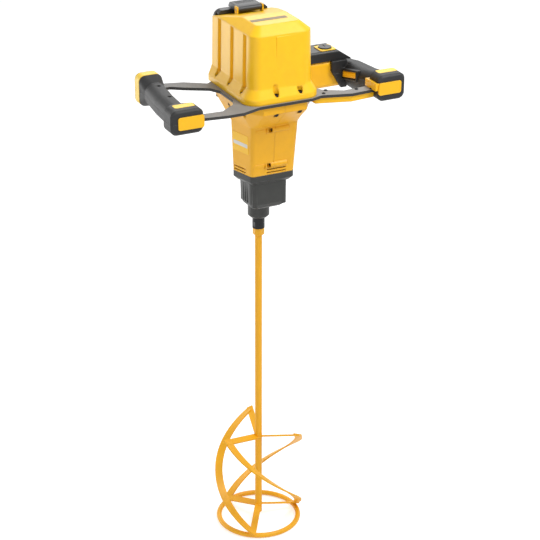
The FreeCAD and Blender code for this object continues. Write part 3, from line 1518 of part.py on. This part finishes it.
wrap_rest = polygon((
    (wrap_left, wrap_low), (wrap_left, wrap_top), (wrap_right, wrap_top), (wrap_right, wrap_top + cap_h),
    (wrap_right + cap_w, wrap_top + cap_h), (wrap_right + cap_w, wrap_low - cap_h),
    (wrap_left - cap_w, wrap_low - cap_h), (wrap_left - cap_w, wrap_low),
))


def left_grip(label, upper):
    body = new_body(label)
    grip_loft(body, left_stations)
    keep_half(body, left_parting, upper)
    if not upper:
        arm_slots(body)
    cut(body, "left_grip_front - inlay_depth", left_panel, "inlay_depth + inlay_depth", "XZ_Plane")
    cut(body, "- left_grip_back - inlay_depth", rear_panel, "inlay_depth + inlay_depth", "XZ_Plane")
    screw_holes(body, left_screws, upper)
    cut(body, "%.4f" % -wrap_start, wrap_area, "wrap_length", "XZ_Plane")
    if upper:
        cut(body, LEFT_CAP_TOP, left_top_panel, "cap_height")
    return body


left_grip("left_grip_upper", True)
left_grip("left_grip_lower", False)

left_front_inlay = new_body("left_front_inlay")
pad(left_front_inlay, "left_grip_front - inlay_depth", left_panel, "inlay_depth + inlay_proud", "XZ_Plane")
left_rear_inlay = new_body("left_rear_inlay")
pad(left_rear_inlay, "- left_grip_back - inlay_proud", rear_panel, "inlay_depth + inlay_proud", "XZ_Plane")
left_front_top_inlay = new_body("left_front_top_inlay")
pad(left_front_top_inlay, LEFT_CAP_TOP, left_top_panel, "inlay_depth")
left_rear_top_inlay = new_body("left_rear_top_inlay")
proud = size("inlay_proud")
wrap_section = grip_section(left_rear_x, left_rear_z, rear_w + proud, rear_h + proud, cap_corner + proud / 2)
pad(left_rear_top_inlay, "%.4f" % -wrap_start, wrap_section, "wrap_length", "XZ_Plane")
cut(left_rear_top_inlay, "%.4f" % -wrap_start, wrap_rest, "wrap_length", "XZ_Plane")

right_x = size("right_grip_x")
right_cap_x = size("right_cap_x")
right_cap_w = size("right_cap_width")
right_cap_h = size("right_cap_height")
right_cap_z = plate_top + size("right_cap_rise")
right_front_end = size("right_grip_front")
right_back_end = size("right_grip_back")
right_rear_w = size("right_rear_width")
right_rear_h = size("right_rear_height")
right_rear_z = plate_top - size("right_sink")
right_waist_x = size("right_waist_x")
right_waist_w = size("right_waist_width")
right_waist_h = size("right_waist_height")
right_waist_z = plate_top - size("right_waist_sink")
rear_bend = right_back_end - 1.5 * cap_end - grip_corner
right_stations = (
    (-right_front_end, right_cap_x, right_cap_z, right_cap_w - cap_end, right_cap_h - cap_end, cap_corner),
    (-right_front_end + cap_round, right_cap_x, right_cap_z, right_cap_w, right_cap_h, cap_corner),
    (-right_front_end + cap_long, right_cap_x, right_cap_z, right_cap_w, right_cap_h, cap_corner),
    (-right_front_end + cap_long + size("cap_taper"), right_x, left_waist_z, waist_w, waist_h, grip_corner),
    (-size("right_waist_place"), right_waist_x, right_waist_z, right_waist_w, right_waist_h, grip_corner),
    (size("right_guard_place"), right_x, right_rear_z, right_rear_w, size("right_guard_height"), grip_corner),
    (rear_bend, right_x, right_rear_z, right_rear_w, right_rear_h, grip_corner),
    (right_back_end - cap_round, right_x, right_rear_z, right_rear_w, right_rear_h, grip_corner),
    (right_back_end, right_x, right_rear_z, right_rear_w - cap_end, right_rear_h - cap_end, grip_corner),
)
parting_bend = -right_front_end + cap_long + cap_round
right_parting = (
    (-sheet_reach, plate_top),
    (parting_bend, plate_top),
    (right_back_end, right_rear_z),
    (sheet_reach, right_rear_z),
)
screw_side = right_x + size("right_screw_side")
right_screws = (
    (screw_side, -size("right_screw_front"), left_seat),
    (screw_side, size("right_screw_back"), left_seat - size("right_screw_sink")),
)
right_panel_x = right_cap_x - size("right_inlay_shift")
right_panel = panel(right_panel_x, right_cap_z, size("right_inlay_width"), size("inlay_height"))
right_top_y = -right_front_end + size("top_inlay_place")
right_top_panel = top_panel(right_cap_x + proud, right_top_y, size("top_inlay_width"))
RIGHT_CAP_TOP = PLATE_TOP + " + right_cap_rise + right_cap_height / 2 - inlay_depth + hole_gap"
tail_end = right_cap_x - right_cap_w / 2 + cap_end
tail_start = right_cap_x - size("tail_reach")
tail_front = -right_front_end + size("tail_place")
tail_back = tail_front + size("tail_length")
tail_root = tail_end + size("tail_root")
inlay_back = -right_front_end + inlay_depth / 2
tail = polygon((
    (tail_start, tail_front), (tail_end, tail_front), (tail_end, inlay_back), (tail_root, inlay_back),
    (tail_root, tail_back), (tail_start, tail_back),
))
neck_low = plate_top - size("neck_drop")
neck_high = plate_top + size("neck_rise")
neck_outline = rounded(size("neck_front"), size("neck_back"), neck_low, neck_high, size("neck_corner"))
neck_start = flange_half
neck_end = right_x - right_rear_w / 2 + size("neck_socket")
grip_inner = right_waist_x - right_waist_w / 2
cheek_root = right_x - right_rear_w / 2
cheek_edge = cheek_root - size("cheek_reach")
cheek_step = size("cheek_step")
cheek = polygon((
    (neck_end, neck_low), (neck_end, neck_high), (cheek_edge, neck_high),
    (cheek_edge, plate_top - cheek_step),
    (cheek_root - cheek_step, neck_low),
))
trigger_start = grip_inner - size("trigger_reach")
trigger_mid = -size("trigger_middle")
switch_near = trigger_start + size("trigger_depth") + size("trigger_travel") + 2 * room
switch_half = size("switch_length") / 2
switch_low = plate_top - size("switch_sink") - size("switch_height") / 2
switch_face = rectangle(trigger_mid - switch_half, trigger_mid + switch_half, switch_low,
                        switch_low + size("switch_height"))


def trigger_outline(grow):
    """Trigger seen from the side, lower at the rear like the grip."""
    half_long = size("trigger_length") / 2 + grow
    half_tall = size("trigger_height") / 2 + grow
    middle = plate_top - size("trigger_sink")
    fall = size("trigger_fall") / 2
    front = trigger_mid - half_long
    back = trigger_mid + half_long
    return polygon((
        (front, middle + fall - half_tall), (back, middle - fall - half_tall),
        (back, middle - fall + half_tall), (front, middle + fall + half_tall),
    ))


def right_grip(label, upper):
    body = new_body(label)
    grip_loft(body, right_stations)
    pad(body, "- neck_front", cheek, "cheek_depth", "XZ_Plane")
    rim_start = trigger_start - size("trigger_rim_proud")
    pad(body, "%.4f" % rim_start, trigger_outline(size("trigger_rim")), "trigger_depth", "YZ_Plane")
    keep_half(body, right_parting, upper)
    if not upper:
        arm_slots(body)
    cut(body, "right_grip_front - inlay_depth", right_panel, "inlay_depth + inlay_depth", "XZ_Plane")
    screw_holes(body, right_screws, upper)
    if upper:
        cut(body, RIGHT_CAP_TOP, right_top_panel, "cap_height")
        cut(body, PLATE_TOP, tail, "tail_height")
    trigger_room = "%.4f" % (switch_near - rim_start)
    cut(body, "%.4f" % rim_start, trigger_outline(room), trigger_room, "YZ_Plane")
    cut(body, "%.4f" % switch_near, switch_face, "switch_depth", "YZ_Plane")
    cut(body, "%.4f" % neck_start, neck_outline, "%.4f" % (neck_end - neck_start), "YZ_Plane")
    return body


right_grip("right_grip_upper", True)
right_grip("right_grip_lower", False)

right_inlay = new_body("right_front_inlay")
pad(right_inlay, "right_grip_front - inlay_depth", right_panel, "inlay_depth + inlay_proud", "XZ_Plane")
pad(right_inlay, PLATE_TOP, tail, "tail_height")
right_top_inlay = new_body("right_top_inlay")
pad(right_top_inlay, RIGHT_CAP_TOP, right_top_panel, "inlay_depth")

switch = new_body("trigger_switch")
pad(switch, "%.4f" % switch_near, switch_face, "switch_depth", "YZ_Plane")

trigger = new_body("trigger")
pad(trigger, "%.4f" % trigger_start, trigger_outline(0), "trigger_depth", "YZ_Plane")
soften(trigger, "Fillet", "inlay_depth", lambda edge: abs(edge.BoundBox.XMax - trigger_start) < 1e-4)

screw_group("grip_screws", left_screws + right_screws, "small_screw_length")


# right neck with its cover and speed dial

neck = new_body("right_neck")
pad(neck, "%.4f" % neck_start, neck_outline, "%.4f" % (neck_end - neck_start), "YZ_Plane")
arm_slots(neck)

neck_cover = new_body("right_neck_cover")
cover_top = number(PLATE_TOP + " + neck_rise + neck_cover_rise")
NECK_COVER_TOP = PLATE_TOP + " + neck_rise + neck_cover_rise"
cover_start = size("neck_cover_start")
cover_end = neck_end + size("neck_cover_tail")
slope_start = cover_end - size("neck_cover_slope")
cover_side = polygon((
    (cover_start, neck_high), (cover_end, neck_high), (cover_end, neck_high + room), (slope_start, cover_top),
    (cover_start, cover_top),
))
pad(neck_cover, "- neck_back - neck_cover_side", cover_side,
    "neck_back - neck_front + neck_cover_side + neck_cover_side", "XZ_Plane")
soften(neck_cover, "Fillet", "neck_cover_rise / 4", lambda edge: flat_at(edge, cover_top))
dial_x = slope_start - size("bezel_size") / 2 - size("dial_inset")
dial_y = neck_mid - size("dial_forward")
dial_hole = size("dial_shaft_diameter") / 2 + size("running_gap")
cut(neck_cover, NECK_COVER_TOP + " - dial_shaft_length - moving_gap", disc(dial_x, dial_y, dial_hole),
    "dial_shaft_length + dial_shaft_length")

bezel = new_body("dial_bezel")
bezel_half = size("bezel_size") / 2
dial_radius = size("dial_diameter") / 2
bezel_face = rounded(dial_x - bezel_half, dial_x + bezel_half, dial_y - bezel_half, dial_y + bezel_half,
                     size("inlay_corner"))
bezel_face += disc(dial_x, dial_y, dial_radius + room)
pad(bezel, NECK_COVER_TOP, bezel_face, "bezel_height")
dial = new_body("speed_dial")
pad(dial, NECK_COVER_TOP + " + moving_gap", disc(dial_x, dial_y, dial_radius), "dial_height")
pad(dial, NECK_COVER_TOP + " - dial_shaft_length", disc(dial_x, dial_y, size("dial_shaft_diameter") / 2),
    "dial_shaft_length + dial_height")
mark_half = size("dial_mark") / 2
mark = rectangle(dial_x - mark_half, dial_x + mark_half, dial_y, dial_y + 2 * dial_radius)
cut(dial, NECK_COVER_TOP + " + dial_height / 2", mark, "dial_height + dial_height")


# channel under the right front arm

rim = size("channel_inset")
channel_start = neck_start - size("channel_reach")
channel_end = right_cap_x - right_cap_w / 2
channel_points = (
    (channel_start, plate_front + root + rim),
    (right_bend, right_front - bow / 2 + rim),
    (channel_end, right_front + rim),
    (channel_end, right_front + arm - rim),
    (right_bend - root / 2, right_front - bow / 2 + arm - rim),
    (channel_start, plate_front + root + arm - rim),
)
channel = new_body("right_channel")
pad(channel, PLATE_BOTTOM + " - channel_depth", polygon(channel_points), "channel_depth")


# checks and files

doc.recompute()
for item in doc.Objects:
    if "Invalid" in item.State or "Error" in item.State:
        raise RuntimeError("%s (%s) is %s" % (item.Label, item.Name, item.State))
for item in nodes:
    shape = item.Shape
    if shape.isNull() or not shape.isValid() or not shape.Solids:
        raise RuntimeError("%s has no valid solid" % item.Label)
for item in nodes:
    item.Shape.exportStep("parts/%s.step" % item.Label)
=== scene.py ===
import json
import math

import bpy
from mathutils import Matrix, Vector

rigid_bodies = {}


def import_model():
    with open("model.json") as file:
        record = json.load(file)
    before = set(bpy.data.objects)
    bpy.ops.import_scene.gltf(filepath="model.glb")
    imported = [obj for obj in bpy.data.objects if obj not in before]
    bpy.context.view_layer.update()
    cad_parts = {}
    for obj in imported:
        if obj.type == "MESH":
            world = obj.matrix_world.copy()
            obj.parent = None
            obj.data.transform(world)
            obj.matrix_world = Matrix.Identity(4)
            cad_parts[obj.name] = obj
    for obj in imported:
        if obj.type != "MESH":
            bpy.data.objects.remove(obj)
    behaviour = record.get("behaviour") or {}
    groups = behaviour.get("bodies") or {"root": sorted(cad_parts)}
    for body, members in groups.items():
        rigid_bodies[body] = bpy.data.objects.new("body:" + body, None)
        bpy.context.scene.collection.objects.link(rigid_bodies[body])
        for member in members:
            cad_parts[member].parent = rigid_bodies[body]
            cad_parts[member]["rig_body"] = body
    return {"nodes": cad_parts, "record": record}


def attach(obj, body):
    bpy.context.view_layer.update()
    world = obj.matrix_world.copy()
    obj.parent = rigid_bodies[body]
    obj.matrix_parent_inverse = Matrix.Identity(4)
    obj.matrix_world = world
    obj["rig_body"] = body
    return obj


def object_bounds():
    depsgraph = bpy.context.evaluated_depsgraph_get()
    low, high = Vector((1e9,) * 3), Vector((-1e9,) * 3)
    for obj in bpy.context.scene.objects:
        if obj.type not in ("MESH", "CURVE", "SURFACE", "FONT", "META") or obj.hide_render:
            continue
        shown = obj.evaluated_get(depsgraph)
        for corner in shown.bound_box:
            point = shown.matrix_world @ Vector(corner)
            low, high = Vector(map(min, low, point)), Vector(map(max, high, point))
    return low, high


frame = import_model()
cad_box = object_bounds()
nodes = frame["nodes"]
slot_of = {part["node"]: part["material_slot"] for part in frame["record"]["subparts"]}
scene = bpy.context.scene
scene.view_settings.view_transform = "Standard"

MM = 0.001
Y = Vector((0, 1, 0))
Z = Vector((0, 0, 1))
DOWN = -Z
WHITE = (1.0, 1.0, 1.0, 1.0)


# materials

PATCH_TO_GRAIN = 12.0
PATCH_DETAIL = 4.0
GRAIN_DETAIL = 2.0
GRAIN_DEPTH = 0.6
FIRST_COLOUR_AT = 0.3
SECOND_COLOUR_AT = 0.75
GLOSSIER = 0.06
DULLER = 0.08


def linear(red, green, blue):
    """Colour as written in sRGB, 0 to 255, in the linear values that a shader takes."""
    channels = []
    for value in (red, green, blue):
        part = value / 255.0
        channels.append(part / 12.92 if part <= 0.04045 else ((part + 0.055) / 1.055) ** 2.4)
    return channels + [1.0]


def surface(name, colour, second, grain, roughness, metallic=0.0, bump=0.05, stretch=(1, 1, 1), edge=0.8):
    """Procedural finish: two near colours mixed by noise, a fine grain, uneven gloss and softened edges."""
    material = bpy.data.materials.new(name)
    material.use_nodes = True
    tree = material.node_tree
    shader = tree.nodes["Principled BSDF"]
    place = tree.nodes.new("ShaderNodeTexCoord")
    turn = tree.nodes.new("ShaderNodeMapping")
    turn.inputs["Scale"].default_value = stretch
    tree.links.new(place.outputs["Object"], turn.inputs["Vector"])
    broad = tree.nodes.new("ShaderNodeTexNoise")
    broad.inputs["Scale"].default_value = grain / PATCH_TO_GRAIN
    broad.inputs["Detail"].default_value = PATCH_DETAIL
    fine = tree.nodes.new("ShaderNodeTexNoise")
    fine.inputs["Scale"].default_value = grain
    fine.inputs["Detail"].default_value = GRAIN_DETAIL
    for noise in (broad, fine):
        tree.links.new(turn.outputs["Vector"], noise.inputs["Vector"])
    ramp = tree.nodes.new("ShaderNodeValToRGB")
    first, last = ramp.color_ramp.elements
    first.position = FIRST_COLOUR_AT
    first.color = linear(*colour)
    last.position = SECOND_COLOUR_AT
    last.color = linear(*second)
    tree.links.new(broad.outputs["Fac"], ramp.inputs["Fac"])
    tree.links.new(ramp.outputs["Color"], shader.inputs["Base Color"])
    rough = tree.nodes.new("ShaderNodeMapRange")
    rough.inputs["To Min"].default_value = roughness - GLOSSIER
    rough.inputs["To Max"].default_value = roughness + DULLER
    tree.links.new(fine.outputs["Fac"], rough.inputs["Value"])
    tree.links.new(rough.outputs["Result"], shader.inputs["Roughness"])
    shader.inputs["Metallic"].default_value = metallic
    soft = tree.nodes.new("ShaderNodeBevel")
    soft.inputs["Radius"].default_value = edge * MM
    raised = tree.nodes.new("ShaderNodeBump")
    raised.inputs["Strength"].default_value = bump
    raised.inputs["Distance"].default_value = GRAIN_DEPTH * MM
    tree.links.new(fine.outputs["Fac"], raised.inputs["Height"])
    tree.links.new(soft.outputs["Normal"], raised.inputs["Normal"])
    tree.links.new(raised.outputs["Normal"], shader.inputs["Normal"])
    return material


looks = {
    "yellow_paint": dict(colour=(244, 178, 10), second=(238, 170, 10), grain=260, roughness=0.45, bump=0.03),
    "yellow_shell": dict(colour=(255, 194, 12), second=(250, 188, 10), grain=900, roughness=0.4, edge=1.6),
    "black_grip": dict(
        colour=(25, 25, 26), second=(20, 20, 21), grain=1400, roughness=0.52, bump=0.3, edge=3.0,
    ),
    "black_plastic": dict(
        colour=(32, 32, 33), second=(26, 26, 27), grain=1100, roughness=0.4, bump=0.12, edge=1.5,
    ),
    "grey_case": dict(
        colour=(45, 46, 43), second=(39, 40, 37), grain=700, roughness=0.42, bump=0.1, edge=2.0,
    ),
    "plate_steel": dict(colour=(140, 139, 138), second=(131, 130, 129), grain=500, roughness=0.6, bump=0.06),
    "dark_steel": dict(colour=(34, 34, 36), second=(27, 27, 28), grain=500, roughness=0.4, metallic=0.6),
    "bright_steel": dict(
        colour=(190, 190, 192), second=(168, 168, 172), grain=400, roughness=0.3, metallic=1.0,
        stretch=(1, 1, 12),
    ),
    "copper": dict(
        colour=(176, 96, 48), second=(150, 78, 38), grain=300, roughness=0.4, metallic=0.8, bump=0.4,
        stretch=(1, 1, 30),
    ),
    "lamination": dict(
        colour=(140, 142, 146), second=(112, 114, 118), grain=60, roughness=0.4, metallic=0.9,
        stretch=(1, 1, 40),
    ),
    "rubber_seal": dict(colour=(30, 30, 30), second=(24, 24, 24), grain=800, roughness=0.7, bump=0.1),
    "box_shell": dict(colour=(255, 200, 10), second=(252, 194, 8), grain=900, roughness=0.36, edge=4.5),
    # painted shade: the housing's yellow is a darker copy of the shell's yellow, standing in for shade
    "shaded_housing_shell": dict(colour=(246, 181, 8), second=(240, 175, 8), grain=900, roughness=0.4, edge=3.0),
    # painted highlight: a paler, lit copy of the shell's yellow for the inlays and the dial bezel
    "lit_lemon_shell": dict(colour=(255, 214, 62), second=(252, 208, 56), grain=900, roughness=0.4, edge=1.2),
    "pale_print": dict(colour=(226, 224, 218), second=(216, 214, 208), grain=500, roughness=0.45, edge=0.2),
    "grey_print": dict(colour=(140, 124, 88), second=(130, 114, 80), grain=500, roughness=0.5, edge=0.2),
}
# the ridges keep the housing's darker yellow, painted shade
looks["ridge_shell"] = dict(looks["shaded_housing_shell"], edge=0.2)
looks["panel_shell"] = dict(looks["box_shell"], edge=0.2)
finishes = {name: surface(name, **look) for name, look in looks.items()}

# places of the colour sockets among the Mix node's sockets of the same names
MIX_FIRST = 6
MIX_SECOND = 7
MIX_RESULT = 2


def paint_side_shade(material, colour):
    """Painted shade on the cut edges of a plate: faces that don't look up or down take a darker colour."""
    tree = material.node_tree
    shader = tree.nodes["Principled BSDF"]
    way = tree.nodes.new("ShaderNodeNewGeometry")
    parts = tree.nodes.new("ShaderNodeSeparateXYZ")
    level = tree.nodes.new("ShaderNodeMath")
    level.operation = "ABSOLUTE"
    tree.links.new(way.outputs["True Normal"], parts.inputs["Vector"])
    tree.links.new(parts.outputs["Z"], level.inputs[0])
    blend = tree.nodes.new("ShaderNodeMix")
    blend.data_type = "RGBA"
    flat = shader.inputs["Base Color"].links[0].from_socket
    tree.links.new(level.outputs[0], blend.inputs["Factor"])
    blend.inputs[MIX_FIRST].default_value = linear(*colour)
    tree.links.new(flat, blend.inputs[MIX_SECOND])
    tree.links.new(blend.outputs[MIX_RESULT], shader.inputs["Base Color"])


# painted shade: the plate's sides take a darker colour that stands in for shade
paint_side_shade(finishes["plate_steel"], colour=(44, 43, 42))
own_finish = {
    "battery_box": "box_shell",
    # the housing halves take the darker copy of the yellow: painted shade
    "motor_housing_left": "shaded_housing_shell",
    "motor_housing_right": "shaded_housing_shell",
    # the dial bezel and the inlays take the paler copy of the yellow: painted highlight
    "dial_bezel": "lit_lemon_shell",
    "left_front_top_inlay": "lit_lemon_shell",
    "left_rear_top_inlay": "lit_lemon_shell",
    "left_rear_inlay": "lit_lemon_shell",
    "right_top_inlay": "lit_lemon_shell",
}
for name, node in nodes.items():
    node.data.materials.clear()
    node.data.materials.append(finishes[own_finish.get(name, slot_of[name])])


# small pieces on the CAD faces, in millimetres

SUNK = 0.4
STANDOFF = 60.0
CORNER_STEPS = 6
SCREW_SIDES = 24
SCREW_LOBES = 6
SCREW_RADIUS = 3.2
WELD_RADIUS = 6.3
WELD_BEAD = 1.5
WELD_RIPPLES = 14
WELD_SWELL = 0.14
WELD_AROUND = WELD_RIPPLES * 8
WELD_SECTION = 10


def touch(node, start, way):
    """Point and outward normal where a straight line first meets a CAD piece."""
    hit, point, normal, _ = nodes[node].ray_cast(Vector(start) * MM, way)
    if not hit:
        raise RuntimeError("no face of %s lies that way" % node)
    return point / MM, normal


def add_piece(name, points, faces, finish, body, smooth=False):
    mesh = bpy.data.meshes.new(name)
    mesh.from_pydata([tuple(point * MM) for point in points], [], faces)
    if smooth:
        mesh.shade_smooth()
    mesh.materials.append(finishes[finish])
    piece = bpy.data.objects.new(name, mesh)
    scene.collection.objects.link(piece)
    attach(piece, body)


def lofted(name, rings, finish, body):
    """Closed skin through rings of equal count, flat at both ends."""
    count = len(rings[0])
    points = [point for ring in rings for point in ring]
    faces = [tuple(reversed(range(count)))]
    for level in range(len(rings) - 1):
        low = level * count
        for step in range(count):
            after = (step + 1) % count
            faces.append((low + step, low + after, low + count + after, low + count + step))
    faces.append(tuple(range(len(points) - count, len(points))))
    add_piece(name, points, faces, finish, body)


def outline(half_wide, half_tall, corner):
    """Points round a rectangle with round corners, about its own middle."""
    points = []
    for number, (side, end) in enumerate(((1, 1), (-1, 1), (-1, -1), (1, -1))):
        middle = Vector((side * (half_wide - corner), end * (half_tall - corner)))
        for step in range(CORNER_STEPS + 1):
            turn = math.radians(90 * number + 90 * step / CORNER_STEPS)
            points.append(middle + corner * Vector((math.cos(turn), math.sin(turn))))
    return points


def face_plate(name, node, middle, look, wide, tall, corner, rise, finish, fades=False):
    """Thin plate with a softened rim, each point dropped on the CAD face.

    One that fades ends flush at its right.
    """
    look = look.normalized()
    across = look.cross(Y if abs(look.z) > 0.9 else Z).normalized()
    upward = across.cross(look)
    soft = rise / 2
    rings = []
    for inset, lift in ((0.0, -SUNK), (0.0, rise - soft), (soft, rise)):
        ring = []
        for spot in outline(wide / 2 - inset, tall / 2 - inset, corner - inset):
            start = Vector(middle) + across * spot.x + upward * spot.y - look * STANDOFF
            point, normal = touch(node, start, look)
            share = 0.5 - spot.x / wide if fades and lift > 0 else 1.0
            ring.append(point + normal * (lift * share))
        rings.append(ring)
    lofted(name, rings, finish, nodes[node]["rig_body"])


def circle(middle, radius, side, upward, lobes):
    """Ring of points, drawn in at six places where lobes is set."""
    ring = []
    for step in range(SCREW_SIDES):
        turn = 2 * math.pi * step / SCREW_SIDES
        reach = radius * (1 - lobes * (1 + math.cos(SCREW_LOBES * turn)) / 2)
        ring.append(middle + side * (reach * math.cos(turn)) + upward * (reach * math.sin(turn)))
    return ring


def pan_screw(name, node, middle, height):
    """Low round screw head with a six-lobed recess, seated on the top of a CAD piece."""
    foot, normal = touch(node, Vector(middle) - DOWN * STANDOFF, DOWN)
    side = normal.cross(Y if abs(normal.z) > 0.7 else Z).normalized()
    upward = normal.cross(side)
    # share of the radius, lift above the face, depth of the lobes: skirt, crown, then the recess
    levels = (
        (1.0, -SUNK, 0.0), (1.0, height * 0.4, 0.0), (0.8, height * 0.85, 0.0), (0.55, height, 0.0),
        (0.5, height, 0.25), (0.45, height * 0.2, 0.25),
    )
    rings = []
    for share, lift, lobes in levels:
        rings.append(circle(foot + normal * lift, SCREW_RADIUS * share, side, upward, lobes))
    lofted(name, rings, "dark_steel", nodes[node]["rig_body"])


def weld_ring(name, level):
    """Rippled bead of weld round the paddle shaft."""
    points = []
    faces = []
    for step in range(WELD_AROUND):
        turn = 2 * math.pi * step / WELD_AROUND
        swell = WELD_BEAD * (1 + WELD_SWELL * math.sin(WELD_RIPPLES * turn))
        way = Vector((math.cos(turn), math.sin(turn), 0))
        row = step * WELD_SECTION
        ahead = (step + 1) % WELD_AROUND * WELD_SECTION
        for part in range(WELD_SECTION):
            roll = 2 * math.pi * part / WELD_SECTION
            after = (part + 1) % WELD_SECTION
            points.append(way * (WELD_RADIUS + swell * math.cos(roll)) + Z * (level + swell * math.sin(roll)))
            faces.append((row + part, ahead + part, ahead + after, row + after))
    add_piece(name, points, faces, "yellow_paint", "spindle_group", smooth=True)


face_plate(
    "roof_label", "battery_box", middle=(-5, -48.5, 1000), look=DOWN, wide=66, tall=12, corner=1, rise=0.3,
    finish="grey_print",
)
face_plate(
    "front_panel", "battery_box", middle=(13, -94, 938), look=Y, wide=52, tall=90, corner=1, rise=1.0,
    finish="panel_shell", fades=True,
)
WALL_LOOK = Vector((0.97, 0.24, 0))
face_plate(
    "name_plate", "motor_housing_left", middle=(-47, -31, 783), look=WALL_LOOK, wide=42, tall=34, corner=2,
    rise=0.5, finish="panel_shell",
)
face_plate(
    "name_band", "motor_housing_left", middle=(-47, -31, 781), look=WALL_LOOK, wide=38, tall=7, corner=1,
    rise=0.8, finish="pale_print",
)
for name, level in (("upper_ridge", 810), ("lower_ridge", 745)):
    face_plate(
        name, "motor_housing_left", middle=(-27, -60, level), look=Y, wide=20, tall=6, corner=2, rise=0.8,
        finish="ridge_shell",
    )
pan_screw("neck_cover_screw", "right_neck_cover", middle=(141, 58, 903), height=1.2)
for number, (x, y) in enumerate(((87, -80), (77, -92), (137, -97), (161, -106))):
    pan_screw("plate_screw_%d" % (number + 1), "frame_plate", middle=(x, y, 871), height=1.6)
for number, level in enumerate((28.5, 176.5, 590.5)):
    weld_ring("shaft_weld_%d" % (number + 1), level)


# floor, light and camera, in metres

FLOOR_HALF = 40.0
FLOOR_GAP = 0.001
FLOOR_GREY = (0.86, 0.86, 0.86, 1.0)
FLOOR_ROUGHNESS = 0.9
FLOOR_GLOW = 0.55
WORLD_LIGHT = 0.45
WORLD_SEEN = 1.0
CAMERA_AZIMUTH = math.radians(26.0)
CAMERA_PITCH = math.radians(25.25)
CAMERA_RANGE = 2.896
CAMERA_HEIGHT = 1.8854
FOCAL_PIXELS = 1788.0
FRAME_PIXELS = 540.0
AXIS_PIXELS_LEFT = 11.5
SENSOR = 36.0


def seen_rays(tree):
    """Socket that is 1 on rays that show a surface, also by a mirror or through glass, and otherwise 0."""
    light_path = tree.nodes.new("ShaderNodeLightPath")
    seen = light_path.outputs["Is Camera Ray"]
    for kind in ("Is Glossy Ray", "Is Transmission Ray"):
        either = tree.nodes.new("ShaderNodeMath")
        either.operation = "MAXIMUM"
        tree.links.new(seen, either.inputs[0])
        tree.links.new(light_path.outputs[kind], either.inputs[1])
        seen = either.outputs[0]
    return seen


def pale_floor():
    material = bpy.data.materials.new("pale_floor")
    material.use_nodes = True
    tree = material.node_tree
    shader = tree.nodes["Principled BSDF"]
    shader.inputs["Base Color"].default_value = FLOOR_GREY
    shader.inputs["Roughness"].default_value = FLOOR_ROUGHNESS
    shader.inputs["Specular IOR Level"].default_value = 0.0
    shader.inputs["Emission Color"].default_value = WHITE
    glow = tree.nodes.new("ShaderNodeMath")
    glow.operation = "MULTIPLY"
    glow.inputs[1].default_value = FLOOR_GLOW
    tree.links.new(seen_rays(tree), glow.inputs[0])
    tree.links.new(glow.outputs[0], shader.inputs["Emission Strength"])
    return material


def make_floor():
    mesh = bpy.data.meshes.new("floor")
    corners = [(side * FLOOR_HALF, end * FLOOR_HALF, 0) for side, end in ((-1, -1), (1, -1), (1, 1), (-1, 1))]
    mesh.from_pydata(corners, [], [(0, 1, 2, 3)])
    floor = bpy.data.objects.new("floor", mesh)
    floor.location.z = cad_box[0][2] - FLOOR_GAP
    mesh.materials.append(pale_floor())
    scene.collection.objects.link(floor)


def make_world():
    world = bpy.data.worlds.new("studio")
    scene.world = world
    world.use_nodes = True
    tree = world.node_tree
    background = tree.nodes["Background"]
    background.inputs["Color"].default_value = WHITE
    strength = tree.nodes.new("ShaderNodeMapRange")
    strength.inputs["To Min"].default_value = WORLD_LIGHT
    strength.inputs["To Max"].default_value = WORLD_SEEN
    tree.links.new(seen_rays(tree), strength.inputs["Value"])
    tree.links.new(strength.outputs["Result"], background.inputs["Strength"])


def area_light(name, place, target, size, power):
    data = bpy.data.lights.new(name, "AREA")
    data.shape = "DISK"
    data.size = size
    data.energy = power
    lamp = bpy.data.objects.new(name, data)
    lamp.location = place
    lamp.rotation_mode = "QUATERNION"
    lamp.rotation_quaternion = (Vector(target) - Vector(place)).to_track_quat("-Z", "Y")
    scene.collection.objects.link(lamp)


def make_camera():
    data = bpy.data.cameras.new("camera")
    data.sensor_width = SENSOR
    data.lens = FOCAL_PIXELS / FRAME_PIXELS * SENSOR
    data.shift_x = AXIS_PIXELS_LEFT / FRAME_PIXELS
    camera = bpy.data.objects.new("camera", data)
    ahead = Vector((math.sin(CAMERA_AZIMUTH), math.cos(CAMERA_AZIMUTH), 0.0))
    camera.location = CAMERA_HEIGHT * Z - CAMERA_RANGE * ahead
    look = ahead * math.cos(CAMERA_PITCH) - Z * math.sin(CAMERA_PITCH)
    camera.rotation_mode = "QUATERNION"
    camera.rotation_quaternion = look.to_track_quat("-Z", "Y")
    scene.collection.objects.link(camera)
    scene.camera = camera


make_floor()
make_world()
area_light("key", place=(0.8, -1.0, 2.6), target=(0, 0, 0.85), size=1.2, power=38)
area_light("fill", place=(-1.7, -2.2, 1.3), target=(0, 0, 0.7), size=1.8, power=14)
area_light("rim", place=(1.2, 2.4, 2.3), target=(0, 0, 0.9), size=1.8, power=14)
area_light("left_glow", place=(-1.6, 2.0, 0.5), target=(0, 0, 0.85), size=2.2, power=28)
make_camera()
